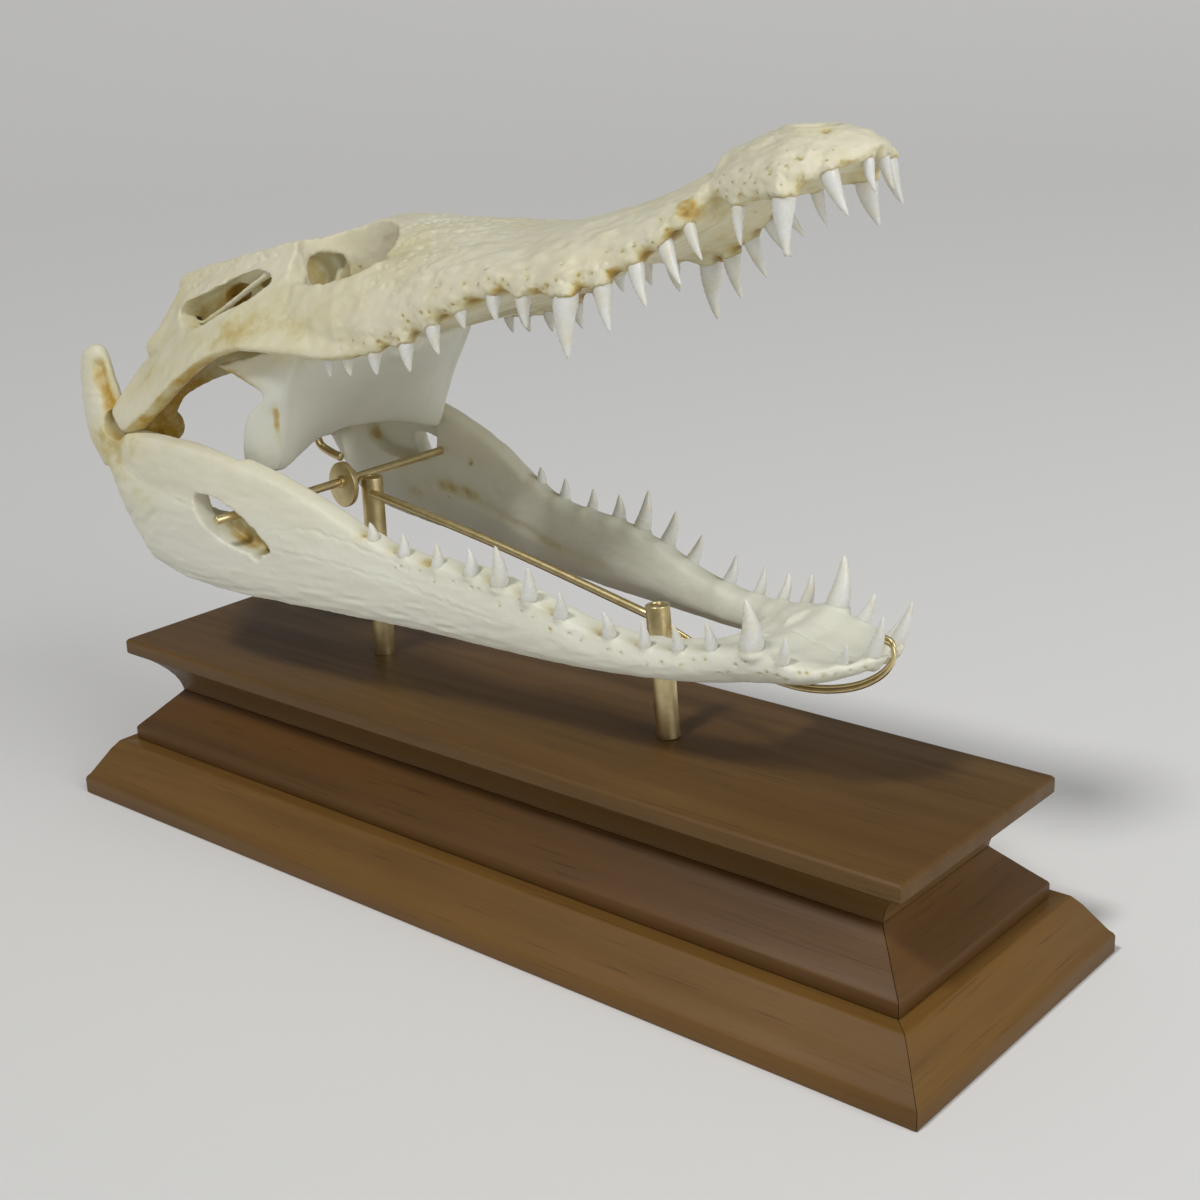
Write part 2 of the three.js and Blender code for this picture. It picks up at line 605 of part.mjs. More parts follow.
place("plinth_bottom", tier(BOTTOM_TIER), COLOURS.bottomWood);
place("plinth_middle", tier(MIDDLE_TIER), COLOURS.middleWood);
place("plinth_top", tier(TOP_TIER), COLOURS.topWood);
for (const [name, solid] of Object.entries(mountSolids())) place(name, solid, COLOURS.brass);

const jointRoom = [roller, cheek].flatMap((make) => bothSides((side) => make(side, 3 * GAP))).map(noseUp);
place("cranium", cut(cranium(), [craniumHook(GAP), crossbar(GAP)]), COLOURS.bone);
place("lower_jaw", lowerJaw([jawWire(GAP), crossbar(GAP), ...jointRoom]), COLOURS.bone);

export default model;
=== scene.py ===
"""A crocodile's skull with open jaws, held on brass rods over a stepped walnut plinth.

Bone is built in millimetres: closed bodies lofted through sections, fused, carved, then sculpted and
painted by functions of place. Metres come in when a piece is finished.
"""
import logging
import math
from dataclasses import dataclass, replace
from enum import Enum
from typing import Iterable, Sequence

import bmesh
import bpy
import numpy as np
from mathutils import Matrix, Vector


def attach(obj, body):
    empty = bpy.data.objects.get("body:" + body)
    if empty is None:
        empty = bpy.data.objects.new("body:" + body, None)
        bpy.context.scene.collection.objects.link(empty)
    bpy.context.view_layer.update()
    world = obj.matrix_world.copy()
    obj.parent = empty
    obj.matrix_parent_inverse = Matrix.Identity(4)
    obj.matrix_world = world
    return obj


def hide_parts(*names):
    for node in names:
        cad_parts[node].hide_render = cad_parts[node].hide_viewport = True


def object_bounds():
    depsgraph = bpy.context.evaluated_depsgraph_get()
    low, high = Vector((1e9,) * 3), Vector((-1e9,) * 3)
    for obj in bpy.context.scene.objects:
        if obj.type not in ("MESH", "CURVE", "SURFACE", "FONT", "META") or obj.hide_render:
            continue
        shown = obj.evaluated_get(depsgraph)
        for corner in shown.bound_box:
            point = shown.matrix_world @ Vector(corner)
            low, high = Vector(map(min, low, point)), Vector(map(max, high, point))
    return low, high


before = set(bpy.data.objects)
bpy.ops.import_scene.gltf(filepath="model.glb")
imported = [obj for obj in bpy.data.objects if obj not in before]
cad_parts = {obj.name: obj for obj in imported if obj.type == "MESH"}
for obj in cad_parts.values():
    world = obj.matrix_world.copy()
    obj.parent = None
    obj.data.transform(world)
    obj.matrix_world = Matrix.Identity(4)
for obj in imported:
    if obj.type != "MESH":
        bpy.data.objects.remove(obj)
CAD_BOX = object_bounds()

LOG = logging.getLogger("skull")
MM = 0.001
Point = tuple[float, float, float]
Colour = tuple[float, float, float]
Rows = Sequence[Sequence[float]]
# a soft spot's strength, its middle and its reach along each axis
Spot = tuple[float, Point, Point]
# the width of a tooth's tip as a share of its foot's, worn down and as grown
WORN, SHARP = 0.26, 0.05


# --------------------------------------------------------------------------------------------------------
# Curves and sections
# --------------------------------------------------------------------------------------------------------

class Rails:
    """Smooth tracks through rows of [place, value, value, ...] that never overshoot their values."""

    def __init__(self, rows: Rows) -> None:
        """Works out the slope of every track at every row.

        Args:
            rows: the place and the values of each row, in order of place.
        """
        table = np.array(rows, float)
        self.places, self.values = table[:, 0], table[:, 1:]
        rises = np.diff(self.values, axis=0) / np.diff(self.places)[:, None]
        before, after = np.vstack([rises[:1], rises]), np.vstack([rises, rises[-1:]])
        product = before * after
        total = np.where(product > 0, before + after, 1.0)
        self.slopes = np.where(product > 0, 2 * product / total, 0.0)

    def __call__(self, place: float) -> np.ndarray:
        """Returns the values at a place.

        Args:
            place: where along the tracks.

        Returns:
            One value for each track.
        """
        last = len(self.places) - 2
        k = int(np.clip(np.searchsorted(self.places, place, side="right") - 1, 0, last))
        span = self.places[k + 1] - self.places[k]
        t = float(np.clip((place - self.places[k]) / span, 0, 1))
        a, b = self.values[k], self.values[k + 1]
        ma, mb = self.slopes[k] * span, self.slopes[k + 1] * span
        return a + t * (ma + t * (3 * (b - a) - 2 * ma - mb + t * (2 * (a - b) + ma + mb)))

    def along(self, places: np.ndarray) -> np.ndarray:
        """Returns a row of values for each of many places."""
        return np.array([self(place) for place in places])


def rounded(corners: np.ndarray, count: int, slack: float = 0.5) -> np.ndarray:
    """Rounds a closed outline into an even curve through its corners.

    Args:
        corners: the corners, one row each.
        count: how many points the curve gets.
        slack: 0.5 for a full curve, less for one that keeps closer to its corners.

    Returns:
        The curve's points, one row each.
    """
    place = np.arange(count) * len(corners) / count
    k = np.floor(place).astype(int)
    t = (place - k)[:, None]
    p0, p1, p2, p3 = (corners[(k + shift) % len(corners)] for shift in (-1, 0, 1, 2))
    leave, reach = slack * (p2 - p0), slack * (p3 - p1)
    return p1 + t * (leave + t * (3 * (p2 - p1) - 2 * leave - reach + t * (2 * (p1 - p2) + leave + reach)))


def two_sided(u: float, half: Rows) -> np.ndarray:
    """Completes a cross-section that is the same on both sides.

    Args:
        u: the section's place along the skull.
        half: [v, w] pairs from the middle below, up the left side, to the middle above.

    Returns:
        The whole ring.
    """
    left = np.array([(u, v, w) for v, w in half])
    return np.vstack([left, left[-2:0:-1] * (1, -1, 1)])


def oval(middle: Sequence[float], radii: Sequence[float], sides: int = 40) -> np.ndarray:
    """Returns the points of an upright ellipse as [across, up] rows."""
    turn = np.arange(sides) * math.tau / sides
    return np.stack([middle[0] + radii[0] * np.cos(turn), middle[1] + radii[1] * np.sin(turn)], axis=1)


class Axis(Enum):
    """The direction that a straight cutter runs in, as the order of its outline's and its depth's axes."""

    FORWARD = (1, 2, 0)
    ACROSS = (0, 2, 1)
    UP = (0, 1, 2)


def prism(outline: np.ndarray, start: float, end: float, axis: Axis) -> list[np.ndarray]:
    """Returns the two end rings of an outline pushed along an axis.

    Args:
        outline: [across, up] rows.
        start: the depth of the first ring.
        end: the depth of the last ring.
        axis: which way the outline is pushed.

    Returns:
        Two rings.
    """
    first, second, depth = axis.value
    rings = []
    for level in (start, end):
        ring = np.zeros((len(outline), 3))
        ring[:, first], ring[:, second], ring[:, depth] = outline[:, 0], outline[:, 1], level
        rings.append(ring)
    return rings


def loft(rings: Sequence[np.ndarray]) -> bmesh.types.BMesh:
    """Skins a closed body through rings, from a grid that is wrapped round them.

    Args:
        rings: rings of one count of points each.

    Returns:
        The closed body, facing out.
    """
    steps, sides = len(rings) - 1, len(rings[0])
    body = bmesh.new()
    bmesh.ops.create_grid(body, x_segments=sides, y_segments=steps, size=0.5)
    for vert in body.verts:
        column = round((vert.co.x + 0.5) * sides) % sides
        level = round((vert.co.y + 0.5) * steps)
        vert.co = rings[level][column]
    bmesh.ops.remove_doubles(body, verts=body.verts, dist=1e-5)
    rims = [edge for edge in body.edges if edge.is_boundary]
    bmesh.ops.holes_fill(body, edges=rims, sides=0)
    bmesh.ops.recalc_face_normals(body, faces=body.faces)
    return body


def circle(middle: np.ndarray, across: np.ndarray, aside: np.ndarray, radius: float,
           sides: int) -> np.ndarray:
    """Returns the points of a circle.

    Args:
        middle: its middle.
        across: the direction of its first point, of length 1.
        aside: the direction of the point a quarter turn on, of length 1.
        radius: its radius.
        sides: how many points it has.

    Returns:
        The points, one row each.
    """
    turn = np.arange(sides) * math.tau / sides
    return middle + radius * (np.cos(turn)[:, None] * across + np.sin(turn)[:, None] * aside)


def tube(line: np.ndarray, radius: float | np.ndarray, sides: int) -> list[np.ndarray]:
    """Returns round rings that follow a line without twisting.

    Args:
        line: the line's points, one row each.
        radius: the tube's radius, one for all or one for each point.
        sides: how many points each ring has.

    Returns:
        The rings.
    """
    ahead = np.gradient(line, axis=0)
    ahead /= np.linalg.norm(ahead, axis=1)[:, None]
    reach = np.broadcast_to(radius, len(line))
    aside = np.cross(ahead[0], (0.13, 0.97, 0.2))
    rings = []
    for middle, direction, width in zip(line, ahead, reach):
        aside = aside - direction * np.dot(aside, direction)
        aside /= np.linalg.norm(aside)
        rings.append(circle(middle, aside, np.cross(direction, aside), width, sides))
    return rings


def smooth_line(stops: Sequence[Point], count: int) -> np.ndarray:
    """Returns an open smooth line through stops, with count points."""
    stations = np.array(stops, float)
    lengths = np.linalg.norm(np.diff(stations, axis=0), axis=1) ** 0.5
    place = np.concatenate([[0], np.cumsum(lengths)])
    slopes = np.gradient(stations, place, axis=0)
    at = np.linspace(0, place[-1], count)
    k = np.clip(np.searchsorted(place, at, side="right") - 1, 0, len(place) - 2)
    span = (place[k + 1] - place[k])[:, None]
    t = (at - place[k])[:, None] / span
    a, b, ma, mb = stations[k], stations[k + 1], slopes[k] * span, slopes[k + 1] * span
    return a + t * (ma + t * (3 * (b - a) - 2 * ma - mb + t * (2 * (a - b) + ma + mb)))


# --------------------------------------------------------------------------------------------------------
# Patterns over many points at once
# --------------------------------------------------------------------------------------------------------

def lattice_value(cell: np.ndarray, seed: int) -> np.ndarray:
    """Returns one steady pseudo-random number from 0 to 1 for each whole-number cell.

    Args:
        cell: rows of three whole numbers.
        seed: chooses the pattern.

    Returns:
        One number for each row.
    """
    mixed = (cell[..., 0] * 73856093) ^ (cell[..., 1] * 19349663)
    mixed = mixed ^ (cell[..., 2] * 83492791) ^ (seed * 2654435761)
    mixed = (mixed ^ (mixed >> 13)) * 1274126177
    mixed = (mixed ^ (mixed >> 16)) & 0xFFFFFF
    return mixed / float(0xFFFFFF)


def waves(points: np.ndarray, size: float | Sequence[float], seed: int = 0) -> np.ndarray:
    """Returns smooth noise from -1 to 1.

    Args:
        points: one row each.
        size: how long a swell is, one for all or one for each axis.
        seed: chooses the pattern.

    Returns:
        One number for each point.
    """
    place = points / np.array(size, float) + seed * 11.7
    cell = np.floor(place).astype(np.int64)
    t = place - cell
    t = t * t * (3 - 2 * t)
    total = np.zeros(len(points))
    for corner in np.ndindex(2, 2, 2):
        share = np.prod(np.where(corner, t, 1 - t), axis=1)
        total += share * lattice_value(cell + np.array(corner), seed)
    return 2 * total - 1


def cells(points: np.ndarray, size: float | Sequence[float], seed: int = 0) -> np.ndarray:
    """Returns how far each point is from the middle of its cell, from 0 at a middle to about 1.

    Args:
        points: one row each.
        size: how wide a cell is, one for all or one for each axis.
        seed: chooses the pattern.

    Returns:
        One number for each point.
    """
    place = points / np.array(size, float) + seed * 5.3
    cell = np.floor(place).astype(np.int64)
    nearest = np.full(len(points), 9.0)
    for shift in np.ndindex(3, 3, 3):
        there = cell + np.array(shift) - 1
        middle = there + np.stack([lattice_value(there, seed + k) for k in (1, 2, 3)], axis=-1)
        nearest = np.minimum(nearest, np.sum((place - middle) ** 2, axis=1))
    return np.sqrt(nearest)


def near(points: np.ndarray, middle: Point, radius: float | Sequence[float]) -> np.ndarray:
    """Returns 1 at a middle, falling softly to 0 about two radii away."""
    return np.exp(-np.sum(((points - np.array(middle)) / np.array(radius, float)) ** 2, axis=1))


def line_distance(points: np.ndarray, line: np.ndarray) -> np.ndarray:
    """Returns each point's distance from a line of straight stretches.

    Args:
        points: one row each.
        line: the line's points, one row each.

    Returns:
        One distance for each point.
    """
    nearest = np.full(len(points), 1e9)
    for start, end in zip(line[:-1], line[1:]):
        along = end - start
        share = np.clip((points - start) @ along / max(along @ along, 1e-9), 0, 1)
        gap = points - start - share[:, None] * along
        nearest = np.minimum(nearest, np.einsum("ij,ij->i", gap, gap))
    return np.sqrt(nearest)


def along_line(points: np.ndarray, line: Sequence[Point] | np.ndarray, width: float) -> np.ndarray:
    """Returns 1 on a line of straight stretches, falling softly to 0 about two widths away."""
    return np.exp(-(line_distance(points, np.array(line, float)) / width) ** 2)


def spots(points: np.ndarray, marks: Sequence[Spot]) -> np.ndarray:
    """Returns the sum of soft spots at each point."""
    return sum(strength * near(points, middle, reach) for strength, middle, reach in marks)


def ramp(value: np.ndarray, low: float, high: float) -> np.ndarray:
    """Returns 0 below low, 1 above high, and a smooth rise between, or a fall where low is above high."""
    t = np.clip((value - low) / (high - low), 0, 1)
    return t * t * (3 - 2 * t)


def folded(points: np.ndarray) -> np.ndarray:
    """Returns the points with the right side laid over the left."""
    return points * (1, 0, 1) + np.abs(points) * (0, 1, 0)


def inwardness(points: np.ndarray, normals: np.ndarray) -> np.ndarray:
    """Returns how far each normal turns to the middle plane, from -1 straight away to 1 straight at it."""
    return -normals[:, 1] * np.sign(points[:, 1])


# --------------------------------------------------------------------------------------------------------
# Pieces
# --------------------------------------------------------------------------------------------------------

def piece_from(name: str, body: bmesh.types.BMesh, scale: float = 1.0) -> bpy.types.Object:
    """Makes an object of a bmesh, which is then freed.

    Args:
        name: the object's name.
        body: its shape.
        scale: what its lengths are multiplied by.

    Returns:
        The object, in the scene.
    """
    if scale != 1.0:
        bmesh.ops.scale(body, vec=(scale,) * 3, verts=body.verts)
    mesh = bpy.data.meshes.new(name)
    body.to_mesh(mesh)
    body.free()
    piece = bpy.data.objects.new(name, mesh)
    bpy.context.scene.collection.objects.link(piece)
    return piece


def pour(bodies: Iterable[bmesh.types.BMesh]) -> bmesh.types.BMesh:
    """Puts several bodies into one bmesh and frees them."""
    whole = bmesh.new()
    for body in bodies:
        loose = bpy.data.meshes.new("loose")
        body.to_mesh(loose)
        body.free()
        whole.from_mesh(loose)
        bpy.data.meshes.remove(loose)
    return whole


def settle(piece: bpy.types.Object) -> None:
    """Makes a piece's modifiers part of its mesh."""
    graph = bpy.context.evaluated_depsgraph_get()
    shaped = bpy.data.meshes.new_from_object(piece.evaluated_get(graph))
    piece.modifiers.clear()
    rough, piece.data = piece.data, shaped
    shaped.name = piece.name
    bpy.data.meshes.remove(rough)


def shade_smooth(piece: bpy.types.Object, angle: float = 180.0) -> None:
    """Shades a piece smooth, with edges sharper than angle degrees kept crisp."""
    piece.data.polygons.foreach_set("use_smooth", [True] * len(piece.data.polygons))
    if angle < 180:
        piece.data.set_sharp_from_angle(angle=math.radians(angle))


def hand_over(piece: bpy.types.Object, slot: str, *nodes: str) -> None:
    """Fastens a piece to the frame, in place of its construction nodes.

    Args:
        piece: the finished piece.
        slot: the record's material slot; not used.
        nodes: the nodes that it stands for, if any.
    """
    if nodes:
        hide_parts(*nodes)
    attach(piece, "root")
    piece.data.calc_loop_triangles()
    LOG.info("%s: %d triangles", piece.name, len(piece.data.loop_triangles))


class Clay:
    """Closed bodies in millimetres that are fused into one, carved, and then sculpted point by point."""

    # how often the skin is smoothed, and how far each round moves a point towards its neighbours' middle
    ROUNDS = 3
    SOFTNESS = 0.5
    # how many metres under the model's top the skin starts to be pressed down
    PRESS = 0.002

    def __init__(self, name: str, grain: float) -> None:
        """Starts an empty lump.

        Args:
            name: what the piece is called.
            grain: the distance between points once it is fused.
        """
        self.name, self.grain = name, grain
        self.bodies: list[bmesh.types.BMesh] = []
        self.cutters: list[bmesh.types.BMesh] = []
        self.later: list[bmesh.types.BMesh] = []
        self.piece: bpy.types.Object | None = None
        self.points = np.zeros((0, 3))
        self.normals = np.zeros((0, 3))

    def add(self, rings: Sequence[np.ndarray]) -> None:
        """Adds a lofted body."""
        self.bodies.append(loft(rings))

    def add_pair(self, rings: Sequence[np.ndarray]) -> None:
        """Adds a lofted body and its mirror image."""
        self.add(rings)
        self.add([ring * (1, -1, 1) for ring in rings])

    def add_ball(self, middle: Point, radii: Point) -> None:
        """Adds an ellipsoid."""
        ball = bmesh.new()
        matrix = Matrix.Translation(middle) @ Matrix.Diagonal((*radii, 1))
        bmesh.ops.create_icosphere(ball, subdivisions=4, radius=1, matrix=matrix)
        self.bodies.append(ball)

    def cut(self, rings: Sequence[np.ndarray]) -> None:
        """Adds a lofted hollow."""
        self.cutters.append(loft(rings))

    def cut_pair(self, rings: Sequence[np.ndarray]) -> None:
        """Adds a lofted hollow and its mirror image."""
        self.cut(rings)
        self.cut([ring * (1, -1, 1) for ring in rings])

    def keep_pair(self, rings: Sequence[np.ndarray]) -> None:
        """Adds a lofted body and its mirror image, which no hollow cuts."""
        self.later += [loft(rings), loft([ring * (1, -1, 1) for ring in rings])]

    def _remesh(self) -> None:
        """Gives the lump an even skin."""
        skin = self.piece.modifiers.new("skin", "REMESH")
        skin.mode, skin.voxel_size = "VOXEL", self.grain
        settle(self.piece)

    def fuse(self) -> None:
        """Fuses the bodies, carves the hollows and rounds every edge."""
        self.piece = piece_from(self.name, pour(self.bodies))
        self._remesh()
        for k, cutter in enumerate(self.cutters):
            tool = piece_from(f"{self.name}_cutter_{k}", cutter)
            carve = self.piece.modifiers.new("carve", "BOOLEAN")
            carve.operation, carve.solver, carve.object = "DIFFERENCE", "MANIFOLD", tool
            settle(self.piece)
            bpy.data.objects.remove(tool)
        carved = bmesh.new()
        carved.from_mesh(self.piece.data)
        whole = pour([carved, *self.later])
        whole.to_mesh(self.piece.data)
        whole.free()
        self._remesh()
        soften = self.piece.modifiers.new("soften", "SMOOTH")
        soften.factor, soften.iterations = self.SOFTNESS, self.ROUNDS
        settle(self.piece)
        self.measure()

    def measure(self) -> None:
        """Reads the skin's points and normals."""
        mesh = self.piece.data
        count = len(mesh.vertices)
        self.points = np.zeros(count * 3, np.float32)
        self.normals = np.zeros(count * 3, np.float32)
        mesh.vertices.foreach_get("co", self.points)
        mesh.vertex_normals.foreach_get("vector", self.normals)
        self.points = self.points.reshape(-1, 3).astype(float)
        self.normals = self.normals.reshape(-1, 3).astype(float)

    def move(self) -> None:
        """Gives the skin the points as they now are."""
        self.piece.data.vertices.foreach_set("co", self.points.astype(np.float32).ravel())
        self.piece.data.update()

    def push(self, heights: np.ndarray) -> None:
        """Moves every point along its normal.

        Args:
            heights: how far each point goes, inwards where negative.
        """
        self.points = self.points + self.normals * heights[:, None]
        self.move()
        self.measure()

    def thin(self, triangles: int) -> None:
        """Joins points where the skin is plain, to come down to a number of triangles."""
        self.piece.data.calc_loop_triangles()
        share = triangles / len(self.piece.data.loop_triangles)
        if share < 1:
            fewer = self.piece.modifiers.new("fewer", "DECIMATE")
            fewer.ratio, fewer.use_collapse_triangulate = share, True
            settle(self.piece)
        self.measure()

    def paint(self, name: str, amounts: np.ndarray) -> None:
        """Stores a number from 0 to 1 for each point, for the finish to read."""
        track = self.piece.data.attributes.new(name, "FLOAT", "POINT")
        track.data.foreach_set("value", np.clip(amounts, 0, 1).astype(np.float32))

    def finish(self, matrix: Matrix) -> bpy.types.Object:
        """Puts the piece in its place, in metres, with its topmost skin pressed under the model's height.

        Args:
            matrix: from the lump's millimetres to the model's millimetres.

        Returns:
            The piece.
        """
        self.piece.data.transform(Matrix.Scale(MM, 4) @ matrix)
        self.measure()
        over = np.maximum(self.points[:, 2] - (CAD_BOX[1][2] - self.PRESS), 0)
        self.points[:, 2] -= over - self.PRESS * np.tanh(over / self.PRESS)
        self.move()
        shade_smooth(self.piece)
        return self.piece


@dataclass(frozen=True)
class Tooth:
    """One conical tooth, from its socket to its tip, curving back a little."""

    socket: Point
    tip: Point
    radius: float
    blunt: float = SHARP

    SIDES = 18
    LEVELS = 14
    # how many radii deep it stands in its socket, how far it sways back, and how much its foot swells
    ROOT, SWAY, SWELL = 0.7, 0.22, 1.06
    # its width against its foot's, from foot to tip
    WIDTHS = Rails([
        [-0.4, 0.86], [0, 1], [0.08, 1], [0.3, 0.86], [0.55, 0.64], [0.8, 0.38], [0.94, 0.19], [1, 0.05],
    ])
    # the collar's place and radius, in radii of the tooth
    COLLAR = Rails([[-2.7, 0.15], [-2.4, 0.6], [-1.8, 1.0], [-1, 1.32], [-0.2, 1.34], [0.14, 1.08]])
    COLLAR_SIDES = 24
    COLLAR_LEVELS = 18
    COLLAR_LEAN = 0.5

    def axes(self) -> tuple[np.ndarray, np.ndarray, np.ndarray, np.ndarray]:
        """Returns the tooth's foot, its whole length as a vector, and two directions across it."""
        foot, point = np.array(self.socket, float), np.array(self.tip, float)
        along = point - foot
        across = np.array([along[2], 0, -along[0]])
        across /= np.linalg.norm(across)
        aside = np.cross(along, across)
        return foot, along, across, aside / np.linalg.norm(aside)

    def collar(self) -> list[np.ndarray]:
        """Returns the rings of the swelling of bone round the root, up to the socket's rim."""
        foot, along, across, aside = self.axes()
        along = along / np.linalg.norm(along)
        lean = np.array([0, -math.copysign(self.COLLAR_LEAN, self.socket[1]), 0])
        rings = []
        for place in np.linspace(self.COLLAR.places[0], self.COLLAR.places[-1], self.COLLAR_LEVELS):
            width = self.radius * float(self.COLLAR(place)[0])
            middle = foot + self.radius * (along * place + lean * max(-0.4 - place, 0))
            rings.append(circle(middle, across, aside, width, self.COLLAR_SIDES))
        return rings

    def rings(self) -> list[np.ndarray]:
        """Returns the tooth's rings, from inside its socket to its tip."""
        foot, along, across, aside = self.axes()
        root = self.ROOT * self.radius / float(np.linalg.norm(along))
        rings = []
        for step in range(self.LEVELS + 1):
            share = (1 + root) * (step / self.LEVELS) ** 0.85 - root
            sway = self.SWAY * self.radius * math.sin(math.pi * min(max(share, 0), 1))
            width = self.SWELL * self.radius * max(float(self.WIDTHS(share)[0]), self.blunt)
            rings.append(circle(foot + along * share + across * sway, across, aside, width, self.SIDES))
        return rings

    def on_side(self, side: int) -> "Tooth":
        """Returns the tooth on the left, for 1, or on the right, for -1."""
        (x, y, z), (tx, ty, tz) = self.socket, self.tip
        return replace(self, socket=(x, side * y, z), tip=(tx, side * ty, tz))


def teeth_from(rows: Rows, worn: Sequence[int] = ()) -> list[Tooth]:
    """Makes the left side's teeth of rows of socket, tip and radius."""
    return [Tooth(tuple(row[:3]), tuple(row[3:6]), row[6], WORN if k in worn else SHARP)
            for k, row in enumerate(rows)]


def festoon(place: float, teeth: Sequence[Tooth]) -> float:
    """Returns how close a place along the jaw is to a tooth, from 0 between teeth to 1 at one."""
    return max(math.exp(-((place - tooth.socket[0]) / (1.3 * tooth.radius)) ** 2) for tooth in teeth)


@dataclass
class Bone:
    """A bone of the skull with its teeth, sculpted as clay in its own millimetres.

    Each kind of bone gives its bodies, relief, nerve holes, stains and cleanness.
    """

    finish: "BoneFinish"
    enamel: "ToothFinish"
    grain: float = 0.9

    NODE = ""
    CROWNS = ""
    TRIANGLES = 0
    TEETH = []
    MATRIX = Matrix.Identity(4)
    # how far a nerve hole is drawn out forwards, and the painted shade in it and on the sockets' rims
    HOLE_STRETCH, HOLE_DARK, RIM_DARK = 1.2, 0.5, 0.4
    # how much of the relief is smoothed away where the bone is clean
    CALM = 0.0

    def __post_init__(self) -> None:
        """Starts the clay."""
        self.clay = Clay(f"{self.NODE}_bone", self.grain * (1))

    def pierce(self, heights: np.ndarray) -> np.ndarray:
        """Sinks the nerve holes into the relief and paints shade into them and onto the rims of the sockets.

        Args:
            heights: the relief, which this changes.

        Returns:
            How much painted shade each point gets for lying in a hole or on a socket's rim.
        """
        p = self.clay.points
        dark = np.zeros(len(p))
        for place, radius in self.foramina():
            k = int(np.argmin(np.sum((p - np.array(place)) ** 2, axis=1)))
            dip = near(p, tuple(p[k]), (radius * self.HOLE_STRETCH, radius, radius * 0.8))
            heights -= 1.0 * radius * dip
            # painted shade in the nerve hole
            dark = np.maximum(dark, self.HOLE_DARK * dip)
        for tooth in self.crowns():
            gap = np.hypot(p[:, 0] - tooth.socket[0], p[:, 1] - tooth.socket[1]) / tooth.radius
            height = np.exp(-((p[:, 2] - tooth.socket[2]) / 2.2) ** 2)
            # painted shade on a thin ring round the socket's rim, where tooth meets bone
            dark = np.maximum(dark, self.RIM_DARK * height * np.exp(-((gap - 1.08) / 0.14) ** 2))
        return dark

    def crowns(self) -> list[Tooth]:
        """Returns the teeth of both sides, the left side's first."""
        return [tooth.on_side(side) for side in (1, -1) for tooth in self.TEETH]

    def build(self) -> None:
        """Models, sculpts, paints and finishes the bone, then sets its teeth."""
        clay = self.clay
        self.model()
        heights = self.relief()
        self.pierce(heights)
        clay.push(heights * (1 - self.CALM * self.cleanness()))
        clay.thin(self.TRIANGLES)
        dark = self.pierce(np.zeros(len(clay.points)))
        clay.paint("stain_and_shade", self.stains())
        # the painted shade of the nerve holes, the pits between teeth and the rims of the sockets
        clay.paint("dark", dark)
        clay.paint("clean", self.cleanness())
        bone = clay.finish(self.MATRIX)
        self.finish.dress(bone)
        hand_over(bone, "bone", self.NODE)
        teeth = piece_from(self.CROWNS, pour(loft(tooth.rings()) for tooth in self.crowns()))
        teeth.data.transform(Matrix.Scale(MM, 4) @ self.MATRIX)
        shade_smooth(teeth)
        self.enamel.dress(teeth)
        hand_over(teeth, "bone")


# --------------------------------------------------------------------------------------------------------
# Cranium
# --------------------------------------------------------------------------------------------------------

